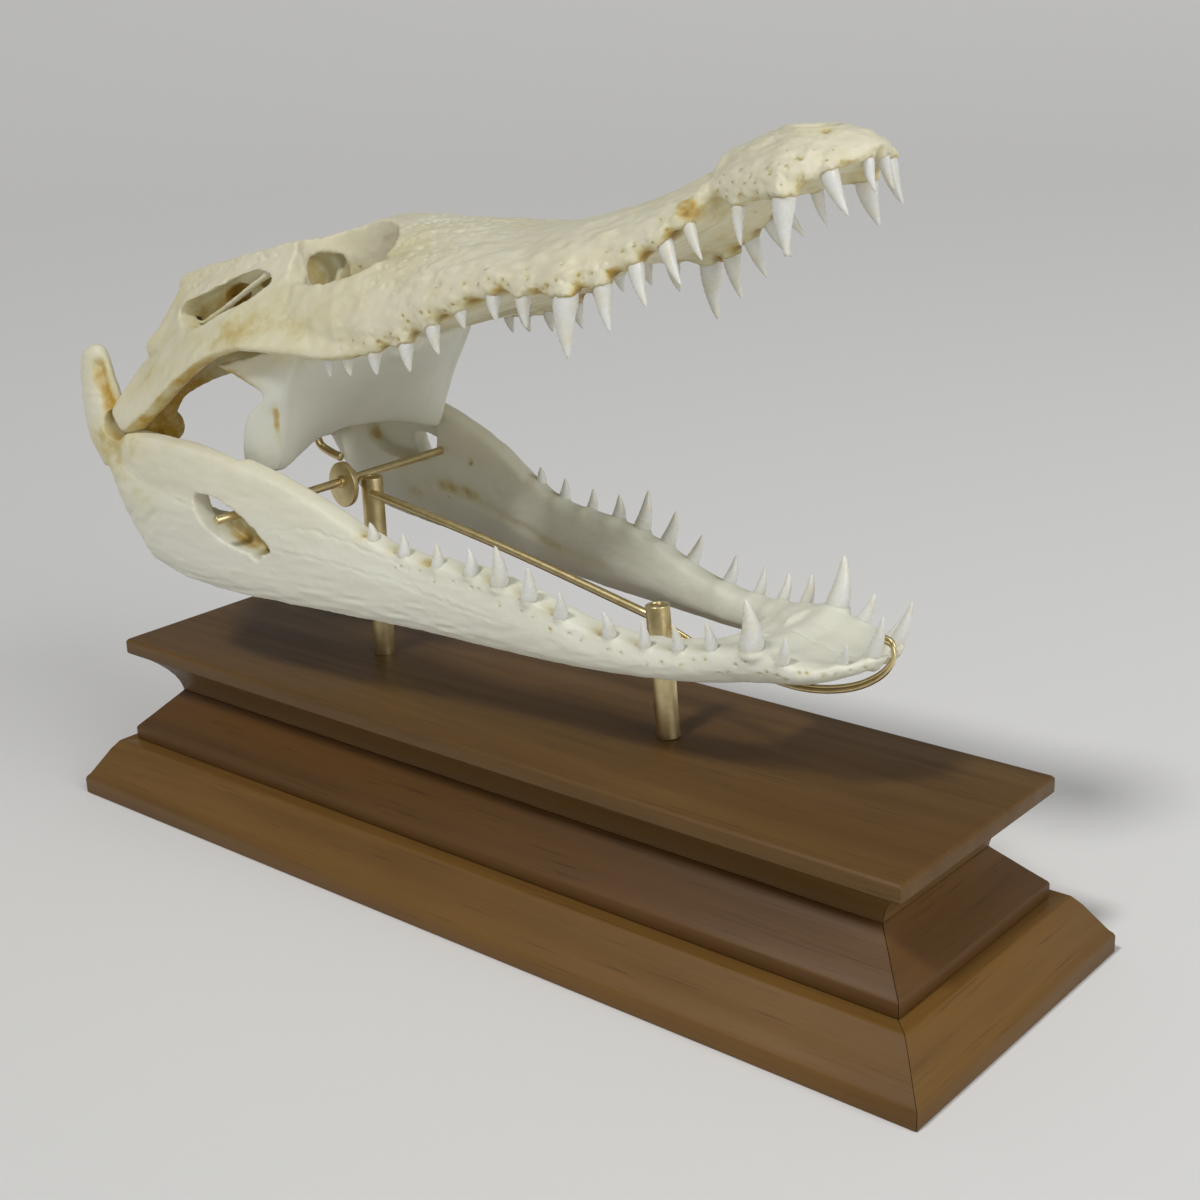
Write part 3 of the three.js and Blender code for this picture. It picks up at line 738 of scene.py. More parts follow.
class Cranium(Bone):
    """The upper skull, drawn level: u forward from behind the jaw joint, v to the left and w up."""

    NODE = "cranium"
    CROWNS = "upper_teeth"
    TRIANGLES = 196_000
    JOINT = (-215.0, 0.0, 196.25)
    PITCH = math.radians(19)
    MATRIX = Matrix.Translation(JOINT) @ Matrix.Rotation(-PITCH, 4, "Y")
    HOLE_STRETCH, HOLE_DARK, RIM_DARK = 1.15, 0.55, 0.5
    CALM = 0.75

    TEETH = teeth_from([
        [415.3, 5.2, 0.8, 415.5, 6, -10.5, 2.3], [408, 19.6, 0.3, 410, 18.4, -16.3, 3.3],
        [392, 27.1, -3, 387, 28, -23.2, 4.2], [370.4, 25.8, -0.7, 369, 28.5, -14.5, 2.4],
        [350.4, 31, -1.5, 354, 33.7, -15, 2.4], [339.8, 34, -5, 343.8, 37, -21.3, 3],
        [326.1, 37.5, -9, 327.1, 39.5, -25.3, 3.2], [311.1, 41.6, -12, 309.1, 42.9, -30, 3.6],
        [296.2, 46.8, -11.6, 289.6, 48.6, -34.8, 4.8], [275.4, 47.8, -6.4, 273.6, 49, -18.7, 3],
        [260.5, 48.6, -2.3, 259.3, 49.4, -12.5, 2.8], [242.3, 50.4, -3.1, 242.1, 50.6, -10.9, 2.6],
        [226.6, 52.6, -5.6, 226.3, 53.5, -17.5, 3], [209.9, 54, -8.8, 208.6, 55, -20.4, 3.1],
        [191.7, 55.4, -7.6, 189.3, 56, -17.1, 3], [175.3, 56.2, -5.2, 174.4, 57, -13.9, 2.8],
        [164.1, 57, -3.4, 162.9, 58, -11.6, 2.4],
    ], worn=(2,))

    # u, half-width at the margin, heights of the margin, the palate and the back, the shoulder's half-width
    # and height
    MUZZLE = Rails([
        [146, 59, 5, -3, 51.5, 30, 46], [168, 59.5, -2, -4, 50.8, 27, 45],
        [190, 59, -7.5, -4.5, 45, 33, 34.5], [208, 57.3, -9, -4.5, 38.5, 34.5, 28],
        [227, 56, -5.7, -4, 32.5, 34, 24], [245, 54, -3.3, -3.5, 26.3, 32.5, 20.5],
        [262, 51.6, -2.4, -3.5, 21.2, 31, 17], [279, 50.6, -7, -4.5, 18.4, 29.5, 14.4],
        [296, 50.4, -11.8, -5.5, 16.6, 28.5, 12.8], [311, 45.2, -12, -6, 15.6, 26.5, 11.8],
        [327, 40.8, -8.8, -5.5, 15.4, 24, 11], [341, 37.4, -4.8, -4, 16.4, 21.5, 11.6],
        [349, 34.6, -1.6, -2.5, 17.2, 19.5, 12.2], [354, 30.5, 1.6, -1.8, 18, 17.5, 13.2],
        [356.6, 27.5, 3.4, -1.5, 20.8, 16.5, 14.8], [360, 25.6, 4.2, -1.2, 22.4, 16.5, 15.8],
        [367, 27, 1.2, -1, 23, 18, 16.3], [378, 29.4, -1.4, 0, 23.2, 19.5, 16.5],
        [392, 30.2, -2.9, 1, 21.4, 19.5, 15.5], [402, 26.8, -1.2, 2, 18.4, 16.5, 13.4],
        [409, 20.8, 0.5, 2.5, 15, 12.5, 11], [414, 14.8, 1.6, 3, 11.8, 9, 9],
        [417.5, 9, 2.4, 3.4, 8.6, 5.5, 7], [419.5, 4, 3.2, 3.8, 6.4, 2.5, 5.6],
    ])
    # along the cheek: the lower edge's u, v and w, then the upper edge's
    CHEEK = Rails([
        [0, 18, 69, 2, 14.5, 66, 7], [1, 26, 73, -5, 16.5, 69, 8], [2, 40, 74, -2, 21, 65, 14],
        [3, 56, 74, 3, 28, 58, 21], [4, 72, 73.5, 8, 35, 52, 29], [5, 88, 73, 12, 49, 46, 40],
        [6, 104, 72, 14.4, 64, 41.5, 53], [7, 118, 71, 14, 85, 39.5, 54], [8, 134, 69.2, 9, 112, 38, 52],
        [9, 153, 66, 2, 145, 34, 50], [10, 170, 63, -4, 166, 30, 48], [11, 190, 59.5, -7, 188, 24, 42],
    ])
    CHEEK_DEPTH = Rails([[0, 4], [1, 8], [4, 8.5], [8, 8], [11, 10]])
    TABLE = Rails([
        [55, 40, 56.5, 46], [62, 40.5, 58.3, 46.5], [96, 39.5, 56, 46.5], [130, 38, 53, 43.5],
        [146, 36.5, 51.5, 42], [156, 22, 51.2, 43],
    ])
    BRAINCASE = Rails([
        [46, 9, 13, 8, 4, 52], [60, 14, 18, 10, -4, 55], [80, 16, 19, 9, -12, 54],
        [100, 15, 18, 7.5, -18, 53], [118, 13, 15, 9, -18, 51], [134, 11, 13, 12, -13, 50],
        [152, 10, 9, 13, -8, 48],
    ])
    OCCIPUT = Rails([
        [0, 58, 56, 44, 11], [16, 58, 56, 43, 13], [30, 57, 55.5, 41, 19], [40, 54, 51, 38, 24],
        [47, 44, 41, 35, 26], [53, 37, 31, 34, 27],
    ])
    # from the roller to the braincase: u, v, the heights of its lower and upper edge, and its thickness
    QUADRATE = Rails([[0, 26, 58, -13, 11, 5], [0.35, 44, 50, 5.5, 23, 4.5], [0.7, 64, 36, 9, 33, 4.5],
                      [1, 82, 18, 8, 36, 6]])
    WINGS = Rails([
        [0, 152, -5, 118, -20, 95, -31], [20, 152, -5, 121, -20.5, 99, -33],
        [38, 148, -4, 124, -18.5, 103, -38], [46, 145, -2, 124, -17, 104, -40.5],
        [53, 141, 1, 123, -16, 104, -41],
    ])
    STRUT = Rails([
        [0, 146, 57, 7, 96, 63, 10], [0.25, 135, 57, -5, 109, 61, -1], [0.4, 128, 56, -12, 116, 59, -9.5],
        [0.55, 120, 55, -20, 102, 59, -15], [0.75, 112, 53.5, -30, 91.5, 58.5, -26],
        [0.92, 105.5, 51.5, -39, 87, 57.5, -37], [1, 102, 51, -43, 89, 56, -41.5],
    ])
    CHEEK_HOLE = np.array([
        [70, 35.5], [66, 40], [72, 43.6], [84, 43.9], [96, 44.6], [108, 45.8], [119, 45.2], [127, 42],
        [131, 37], [122, 33.2], [105, 31], [91, 29], [78, 30],
    ])
    CHEEK_BAR = ((62, 44, 31.5), (78, 44, 33.4), (96, 43.5, 36.4), (112, 43, 39.6), (128, 41, 42.5))
    EYE_RIM = np.array([
        [142, 36], [149, 31.8], [162, 28.6], [175, 27], [187, 26.6], [195, 27.6], [199, 31], [196, 36.5],
        [190, 42], [186, 52], [176, 60], [158, 60], [146, 56], [142, 46],
    ])

    # lines on the left side, with their depth or height and their half-width
    GROOVES = (
        (((119, 56, -15), (113, 56, -28), (106, 54, -42)), 1.5, 1.1),
        (((34, 54, 26.6), (44, 56, 26.2), (57, 56, 27.5), (70, 54, 30)), 2.4, 1.7),
        (((140, 70, 20), (148, 70, 18.4), (156, 69, 16.5)), 1.5, 1.3),
        (((162, 67, 16.5), (170, 66, 14.4), (176, 65, 15)), 1.2, 1.1),
        (((350.5, 0, 18), (351.5, 12, 16.5), (353, 22, 11)), 1.3, 1.7),
        (((64, 42, 50), (96, 41, 50), (128, 39.5, 47)), 0.8, 1.4),
        (((196, 40, 30), (206, 30, 35), (220, 22, 33), (238, 16, 28)), 0.7, 2.2),
    )
    RIDGES = (
        (((30, 53, 30), (40, 52, 33), (52, 47, 39), (62, 42, 50)), 1.5, 3.2),
        (((100, 71, 14), (120, 71, 13), (140, 69, 10), (160, 66, 4)), 1.0, 2.6),
        (((196, 45, 27), (210, 42, 25), (228, 38, 22), (250, 36, 17)), 1.3, 4.5),
        (((188, 32, 43), (200, 28, 40), (216, 22, 36)), 1.2, 4.0),
        (((358.5, 0, 22), (359, 10, 20.5), (359, 18, 16)), 1.2, 2.2),
    )

    # larger nerve holes: their u, and how high they are over the margin
    LARGE_HOLES = (
        (342, 9), (318, 11), (300, 13), (282, 12), (262, 15), (250, 9), (236, 14), (215, 10),
    )
    # the left fourth tooth of the premaxilla, which is whole: its place among the teeth and its tip
    WHOLE_TOOTH = (2, (391.5, 28.5, -20.5))

    # stains on the left side: anywhere, where the bone is hidden from outside, and on its inner faces
    STAINS = (
        (2.2, (26, 48, -7), (13, 11, 9)), (1.0, (78, 30, 26), (16, 14, 16)),
        (2.2, (92, 35, 38.5), (11, 6, 6)), (1.2, (128, 24, 37), (7, 8, 9)),
        (0.55, (76, 40, 36), (10, 4, 6)), (0.8, (116, 37, 39), (8, 5, 5)),
        (1.0, (150, 20, 30), (14, 9, 5)), (0.9, (146, 70, 17.5), (8, 6, 3)),
        (0.25, (118, 68, 24), (20, 9, 9)), (1.1, (67, 52, 30), (12, 5, 3.4)),
        (1.9, (352, 32, 5), (3.4, 4.5, 3.6)), (0.2, (100, 66, 20), (60, 16, 16)),
        (1.1, (168, 67, 14.5), (8, 5, 3)), (0.3, (40, 64, 16), (20, 9, 9)),
        (0.3, (205, 36, 30), (34, 20, 14)), (0.3, (150, 62, 22), (40, 12, 18)),
        (0.35, (58, 42, 48), (12, 16, 9)), (0.4, (40, 30, 30), (10, 20, 14)),
    )
    HIDDEN_STAINS = (
        (1.6, (40, 56, 1), (26, 18, 14)), (1.1, (72, 60, 10), (34, 18, 12)),
        (0.7, (104, 62, 4), (14, 9, 9)),
    )
    INNER_STAINS = ((1.3, (180, 47, 24), (14, 5, 4)),)

    # ---- bodies ----

    def muzzle_ring(self, u: float) -> np.ndarray:
        """Returns the snout's cross-section, scalloped at the margin round each tooth."""
        half, margin, palate, back, shoulder, shoulder_height = self.MUZZLE(u)
        swell = festoon(u, self.TEETH) - 0.4 if u > 158 else 0.0
        half, margin = half + 0.8 * swell, margin - 1.7 * swell
        lip = min(5.5, half * 0.35)
        flank = margin + (shoulder_height - margin) * 0.32
        belly = (half + shoulder) / 2 + half * 0.06
        ring = two_sided(u, [
            [0, palate + 1.2], [half * 0.42, palate], [half - lip * 1.6, (palate + margin) / 2],
            [half - lip, margin], [half - 1, margin + 0.4], [half, flank],
            [belly, flank + (shoulder_height - flank) * 0.62], [shoulder, shoulder_height],
            [shoulder * 0.55, back - (back - shoulder_height) * 0.25], [0, back],
        ])
        return rounded(ring, 96, 0.42)

    def muzzle(self) -> list[np.ndarray]:
        """Returns the snout's rings, from the eyes to its tip."""
        rear, length, steps = 148, 271.5, 190
        return [self.muzzle_ring(rear + length * (1 - (1 - k / steps) ** 1.5)) for k in range(steps + 1)]

    def cheek(self) -> list[np.ndarray]:
        """Returns the cheek bar's rings, from the jaw joint to the snout."""
        rings = []
        for along in np.linspace(0, 11, 90):
            lu, lv, lw, uu, uv, uw = self.CHEEK(along)
            depth = self.CHEEK_DEPTH(along)[0]

            def between(share: float, bulge: float, inset: float) -> Point:
                """Returns a point of the bar's section, from its lower edge, 0, to its upper edge, 1."""
                return (lu + (uu - lu) * share, lv + (uv - lv) * share + bulge - inset * 0.9,
                        lw + (uw - lw) * share + bulge * 0.5 - inset * 0.45)

            ring = np.array([
                between(0, 0, 0), between(0.12, 1.6, 0), between(0.5, 2.4, 0), between(0.85, 1.2, 0),
                between(1, 0, 0), between(1, 0, depth * 0.7), between(0.6, 0, depth * 0.9),
                between(0.16, 0, depth), between(0.02, 0, depth * 0.7),
            ])
            rings.append(rounded(ring, 60, 0.4))
        return rings

    def skull_table(self) -> list[np.ndarray]:
        """Returns the rings of the flat table between and behind the eyes."""
        rings = []
        for u in np.linspace(55, 156, 50):
            half, above, below = self.TABLE(u)
            ring = two_sided(u, [
                [0, below], [half - 4, below], [half, below + 2.5], [half, above - 2.2],
                [half - 2.5, above],
                [half * 0.5, above - 0.8], [0, above - 1],
            ])
            rings.append(rounded(ring, 72, 0.25))
        return rings

    def braincase(self) -> list[np.ndarray]:
        """Returns the rings of the braincase."""
        rings = []
        for u in np.linspace(46, 152, 40):
            low, wide, high, bottom, top = self.BRAINCASE(u)
            ring = two_sided(u, [
                [0, bottom], [low, bottom + 2], [wide, bottom + (top - bottom) * 0.4],
                [high + 2, bottom + (top - bottom) * 0.75], [high, top], [0, top],
            ])
            rings.append(rounded(ring, 60, 0.45))
        return rings

    def occiput(self) -> list[np.ndarray]:
        """Returns the rings of the back wall, drawn out at each side into a paroccipital process."""
        rings = []
        for v in np.linspace(-53, 53, 70):
            top_u, top_w, low_u, low_w = self.OCCIPUT(abs(v))
            depth = 14 - 7 * (abs(v) / 53)
            ring = np.array([
                (low_u, v, low_w), ((low_u + top_u) / 2 - 1.5, v, (low_w + top_w) / 2), (top_u, v, top_w),
                (top_u + depth, v, top_w - 1), ((low_u + top_u) / 2 + depth, v, (low_w + top_w) / 2),
                (low_u + depth, v, low_w + 1),
            ])
            rings.append(rounded(ring, 48, 0.3))
        return rings

    def roller(self) -> list[np.ndarray]:
        """Returns the rings of the jaw joint's rounded roller, waisted in its middle."""
        rings = []
        for t in np.linspace(0, 1, 24):
            waist = 1 - 0.13 * math.exp(-((t - 0.45) / 0.16) ** 2)
            reach = 7.4 * waist * math.sqrt(1 - (abs(t - 0.5) / 0.54) ** 3)
            section = oval((26.5 - 5 * t, -6.5 + 6.5 * t), (reach, reach * 0.9), 32)
            rings.append(np.insert(section, 1, 44 + 27 * t, axis=1))
        return rings

    def quadrate_wall(self) -> list[np.ndarray]:
        """Returns the rings of the plate that runs from the roller up to the braincase."""
        rings = []
        for t in np.linspace(0, 1, 30):
            u, v, low, high, depth = self.QUADRATE(t)
            corners = ((-0.7, 0), (0.7, 0), (1, 0.5), (1, 1), (-1, 1), (-1, 0.5))
            ring = np.array([(u + a * depth, v + (share - 0.5) * 9, low + (high - low) * share)
                             for a, share in corners])
            rings.append(rounded(ring, 40, 0.4))
        return rings

    def wings(self) -> list[np.ndarray]:
        """Returns the rings of the palate's wings, one wall across the skull."""
        rings = []
        for v in np.linspace(-53, 53, 70):
            top_u, top_w, front_u, front_w, foot_u, foot_w = self.WINGS(abs(v))
            ring = np.array([
                (top_u, v, top_w), (front_u, v, front_w), (foot_u, v, foot_w), (foot_u - 4, v, foot_w + 2),
                (front_u - 7, v, front_w + 5), (top_u - 12, v, top_w + 6),
            ])
            rings.append(rounded(ring, 60, 0.4))
        return rings

    def strut(self) -> list[np.ndarray]:
        """Returns the rings of the strut that falls from the cheek to the thick rim of the wing."""
        rings = []
        for t in np.linspace(0, 1, 60):
            fu, fv, fw, ru, rv, rw = self.STRUT(t)
            depth = 6 - 2.5 * t
            mu, mv, mw = (fu + ru) / 2, (fv + rv) / 2, (fw + rw) / 2
            ring = np.array([
                (fu, fv, fw), (mu, mv + 1.5, mw), (ru, rv, rw), (ru, rv - depth, rw), (mu, mv - depth, mw),
                (fu, fv - depth, fw),
            ])
            rings.append(rounded(ring, 48, 0.4))
        return rings

    def model(self) -> None:
        """Fuses the bones and opens the holes between them."""
        clay = self.clay
        for rings in (self.muzzle(), self.skull_table(), self.braincase(), self.occiput(), self.wings()):
            clay.add(rings)
        for rings in (self.cheek(), self.roller(), self.quadrate_wall(), self.strut()):
            clay.add_pair(rings)
        middle = np.array([98, 38])
        behind_cheek = middle + (rounded(self.CHEEK_HOLE, 60) - middle) * (1.1, 1.25)
        clay.add_pair(prism(behind_cheek, 22, 42, Axis.ACROSS))
        clay.add_pair(prism(oval((25.5, 36), (13, 12)), 108, 141, Axis.FORWARD))
        clay.add_ball((40, 0, 19), (6.5, 6, 5.5))
        for side in (1, -1):
            clay.add_ball((26.5, side * 47.5, -6.5), (8.6, 5.5, 7.8))
        for tooth in self.TEETH:
            clay.add_pair(tooth.collar())
        eye, eye_floor = rounded(self.EYE_RIM, 70), oval((182, 26), (24, 10.5))
        holes = (
            (oval((168, 31), (27, 19.5)), 6, 80, Axis.UP), (eye, 36, 80, Axis.ACROSS),
            (eye_floor, -30, 12, Axis.UP), (rounded(self.CHEEK_HOLE, 60), 40.5, 80, Axis.ACROSS),
            (oval((97, 39), (10, 4.8)), 33, 45, Axis.ACROSS),
            (oval((120, 39.6), (5, 3.2)), 37, 45, Axis.ACROSS),
            (oval((25.5, 36), (9, 8.4)), 133, 150, Axis.FORWARD),
            (oval((100, 18), (12.5, 8.5)), 30, 80, Axis.UP),
        )
        for hole in holes:
            clay.cut_pair(prism(*hole))
        clay.keep_pair(tube(smooth_line(self.CHEEK_BAR, 30), 1.5, 20))
        between_eyes, spinal_cord = oval((170, 11), (11, 5)), oval((0, 31), (5.5, 5))
        nostrils = oval((395, 0), (9.5, 8))
        clay.cut(prism(between_eyes, -30, 30, Axis.ACROSS))
        clay.cut(prism(spinal_cord, 20, 62, Axis.FORWARD))
        clay.cut(prism(nostrils, 12, 40, Axis.UP))
        clay.fuse()

    # ---- surface ----

    def foramina(self) -> list[tuple[Point, float]]:
        """Returns the nerve holes' places and radii, in rows above the teeth and over the premaxilla."""
        rng = np.random.default_rng(7)
        holes: list[tuple[Point, float]] = []
        for side in (1, -1):
            for u in np.arange(180, 346, 6.3):
                half, margin, *_ = self.MUZZLE(u)
                place = (u + rng.normal(0, 1.8), side * half, margin + rng.uniform(2, 7.5))
                holes.append((place, rng.uniform(0.35, 0.75)))
            for row, rise in enumerate((3.8, 8.0, 12.5)):
                for u in np.arange(362 + 3 * row, 413, 6.6):
                    half, margin, *_ = self.MUZZLE(u)
                    jitter = rng.normal(0, 1.1, 2)
                    place = (u + jitter[0], side * half, margin + rise + jitter[1])
                    holes.append((place, rng.uniform(0.45, 0.9)))
            holes += [((404, side * 9, 15), 1.5), ((352, side * 33, 4.5), 1.9), ((408, side * 12, 5), 1.4)]
            for u, rise in self.LARGE_HOLES:
                half, margin, *_ = self.MUZZLE(u)
                holes.append(((u, side * half * 0.97, margin + rise), rng.uniform(0.6, 0.9)))
        return holes

    def sutures(self) -> list[np.ndarray]:
        """Returns the wavy lines where bones meet."""
        nose = [(u, 4.5 - 3.5 * ramp(np.array([u]), 330, 378)[0], 60) for u in np.linspace(205, 378, 40)]
        lines = (
            nose,
            [(206, 4.5, 60), (196, 12, 60), (188, 9, 60), (176, 5, 60), (170, 0, 60)],
            [(346, 34, 4), (352, 26, 14), (345, 14, 20), (332, 5, 24)],
            [(128, 0, 60), (126, 12, 60), (121, 20, 60), (118, 38, 56)],
            [(92, 38, 58), (86, 31, 60), (90, 26, 60)],
            [(66, 12, 60), (64, 24, 60), (58, 28, 60)],
            [(210, 54, -3), (196, 56, 6), (184, 55, 14), (178, 48, 26)],
            [(208, 33, 32), (226, 30, 27), (250, 22, 24), (262, 10, 24), (256, 5, 26)],
            [(100, 70, 16), (88, 66, 22), (78, 60, 30)],
        )
        return [np.array(line, float) for line in lines]

    def relief(self) -> np.ndarray:
        """Returns how far each point of the bone stands out from its smooth form."""
        p, n = self.clay.points, self.clay.normals
        side = folded(p)
        top = ramp(n[:, 2], 0.15, 0.7)
        flank = ramp(np.abs(n[:, 1]), 0.2, 0.6) * ramp(p[:, 0], 150, 180)
        snout = ramp(p[:, 0], 190, 215)
        table = ramp(p[:, 0], 186, 150) * ramp(p[:, 2], 46, 50) * top
        heights = 0.15 * waves(p, 1.9, 1) + 0.20 * waves(p, 4.5, 2)
        heights += top * snout * 0.34 * waves(p, (7, 2.6, 3), 3)
        knurls = 0.24 * waves(p, (5, 2.2, 2.2), 4) + 0.3 * waves(p, (9, 4, 3.6), 6)
        heights += (flank + top * snout) * knurls
        pits = 1 - ramp(cells(p, (4.6, 3.6, 4.2), 5), 0.18, 0.42)
        brow = ramp(p[:, 0], 182, 196) * ramp(p[:, 0], 260, 225) * top
        heights -= (0.75 * table + 0.55 * brow) * pits
        margin = self.MUZZLE.along(np.clip(p[:, 0], 148, 419))[:, 1]
        lip = np.exp(-((p[:, 2] - margin - 4) / 5.5) ** 2)
        lip *= ramp(p[:, 0], 170, 190) * ramp(np.abs(n[:, 1]), 0.1, 0.5)
        heights += lip * (0.42 * waves(p, (2.8, 3, 2.4), 8) - 0.45 * (1 - ramp(cells(p, 3.4, 9), 0.15, 0.35)))
        front = ramp(p[:, 0], 352, 362)
        heights -= 0.32 * front * (1 - ramp(cells(p, 3.1, 12), 0.15, 0.36))
        for line in self.sutures():
            wavy = side + np.stack([waves(p, 2.4, 20), waves(p, 2.4, 21), np.zeros(len(p))], axis=1) * 1.1
            above = line[:, 2].max() > 55
            kept = (1, 1, 0 if above else 1)
            heights -= 0.42 * along_line(wavy * kept, line * kept, 0.75) * (top if above else 1.0)
        heights += 1.1 * top * np.exp(-(np.hypot((p[:, 0] - 395) / 11.6, p[:, 1] / 10) - 1) ** 2 / 0.012)
        cheek = ramp(np.abs(n[:, 1]), 0.2, 0.6) * ramp(p[:, 0], 210, 190) * ramp(p[:, 2], -6, 2)
        slanted = np.stack([p[:, 0] * 0.9 + p[:, 2] * 0.44, p[:, 1], p[:, 2] * 0.9 - p[:, 0] * 0.44], axis=1)
        heights += cheek * 0.38 * waves(slanted, (11, 6, 3.2), 14)
        for line, depth, width in self.GROOVES:
            heights -= depth * along_line(side, line, width)
        for line, rise, width in self.RIDGES:
            heights += rise * along_line(side, line, width)
        return heights

    def pierce(self, heights: np.ndarray) -> np.ndarray:
        """Sinks the nerve holes and the pits between teeth into the relief, and paints shade into them.

        Args:
            heights: the relief, which this changes.

        Returns:
            How much painted shade each point gets for lying in a hole, a pit or on a socket's rim.
        """
        dark = super().pierce(heights)
        for u, half, margin in self.gaps():
            if u > 352:
                continue
            for side in (1, -1):
                dip = near(self.clay.points, (u - 0.5, side * (half - 3.6), margin + 0.2), (3.0, 2.8, 3.2))
                heights -= 1.7 * dip
                # painted shade in the pit between two teeth
                dark = np.maximum(dark, 0.85 * dip)
        return dark

    def gaps(self) -> list[Point]:
        """Returns, for each gap between two teeth, its place and the margin's half-width and height there."""
        places = [tooth.socket[0] for tooth in self.TEETH]
        middles = [(front + rear) / 2 for front, rear in zip(places[:-1], places[1:])]
        return [(u, *self.MUZZLE(u)[:2]) for u in middles]

    def stains(self) -> np.ndarray:
        """Returns how yellow each point is, with painted shade in the pits between teeth."""
        p, n = self.clay.points, self.clay.normals
        side = folded(p)
        inner = ramp(inwardness(p, n), -0.1, 0.5)
        under = ramp(-n[:, 2], 0.0, 0.5)
        hidden = np.maximum(np.maximum(inner, under), ramp(n[:, 0], 0.2, 0.7))
        amount = spots(side, self.STAINS) + hidden * spots(side, self.HIDDEN_STAINS)
        amount += inner * spots(side, self.INNER_STAINS)
        amount += 0.35 * under * ramp(p[:, 0], 150, 175) * ramp(p[:, 2], 8, 2)
        amount += 1.5 * along_line(side, self.GROOVES[0][0], 1.5)
        for place, radius in self.foramina():
            amount += 0.6 * near(p, place, 2.0 * radius)
        # painted shade: yellow-brown laid into the pits between teeth
        for u, half, margin in self.gaps():
            amount += (0.9 if u < 346 else 0.5) * near(side, (u - 0.5, half - 3, margin + 1), (3.2, 4, 3.2))
        return amount * (0.85 + 0.4 * waves(p, 6, 30)) + 0.07 * waves(p, 14, 31)

    def cleanness(self) -> np.ndarray:
        """Returns how white and smooth each point is, as on the wings of the palate."""
        p = self.clay.points
        return ramp(p[:, 2], 4, -8) * ramp(p[:, 0], 165, 150) * ramp(p[:, 0], 84, 92)

    def crowns(self) -> list[Tooth]:
        """Returns the teeth of both sides, with a whole one on the left where the right one is worn."""
        teeth = super().crowns()
        place, tip = self.WHOLE_TOOTH
        teeth[place] = replace(teeth[place], tip=tip, blunt=SHARP)
        return teeth


# --------------------------------------------------------------------------------------------------------
# Lower jaw
# --------------------------------------------------------------------------------------------------------

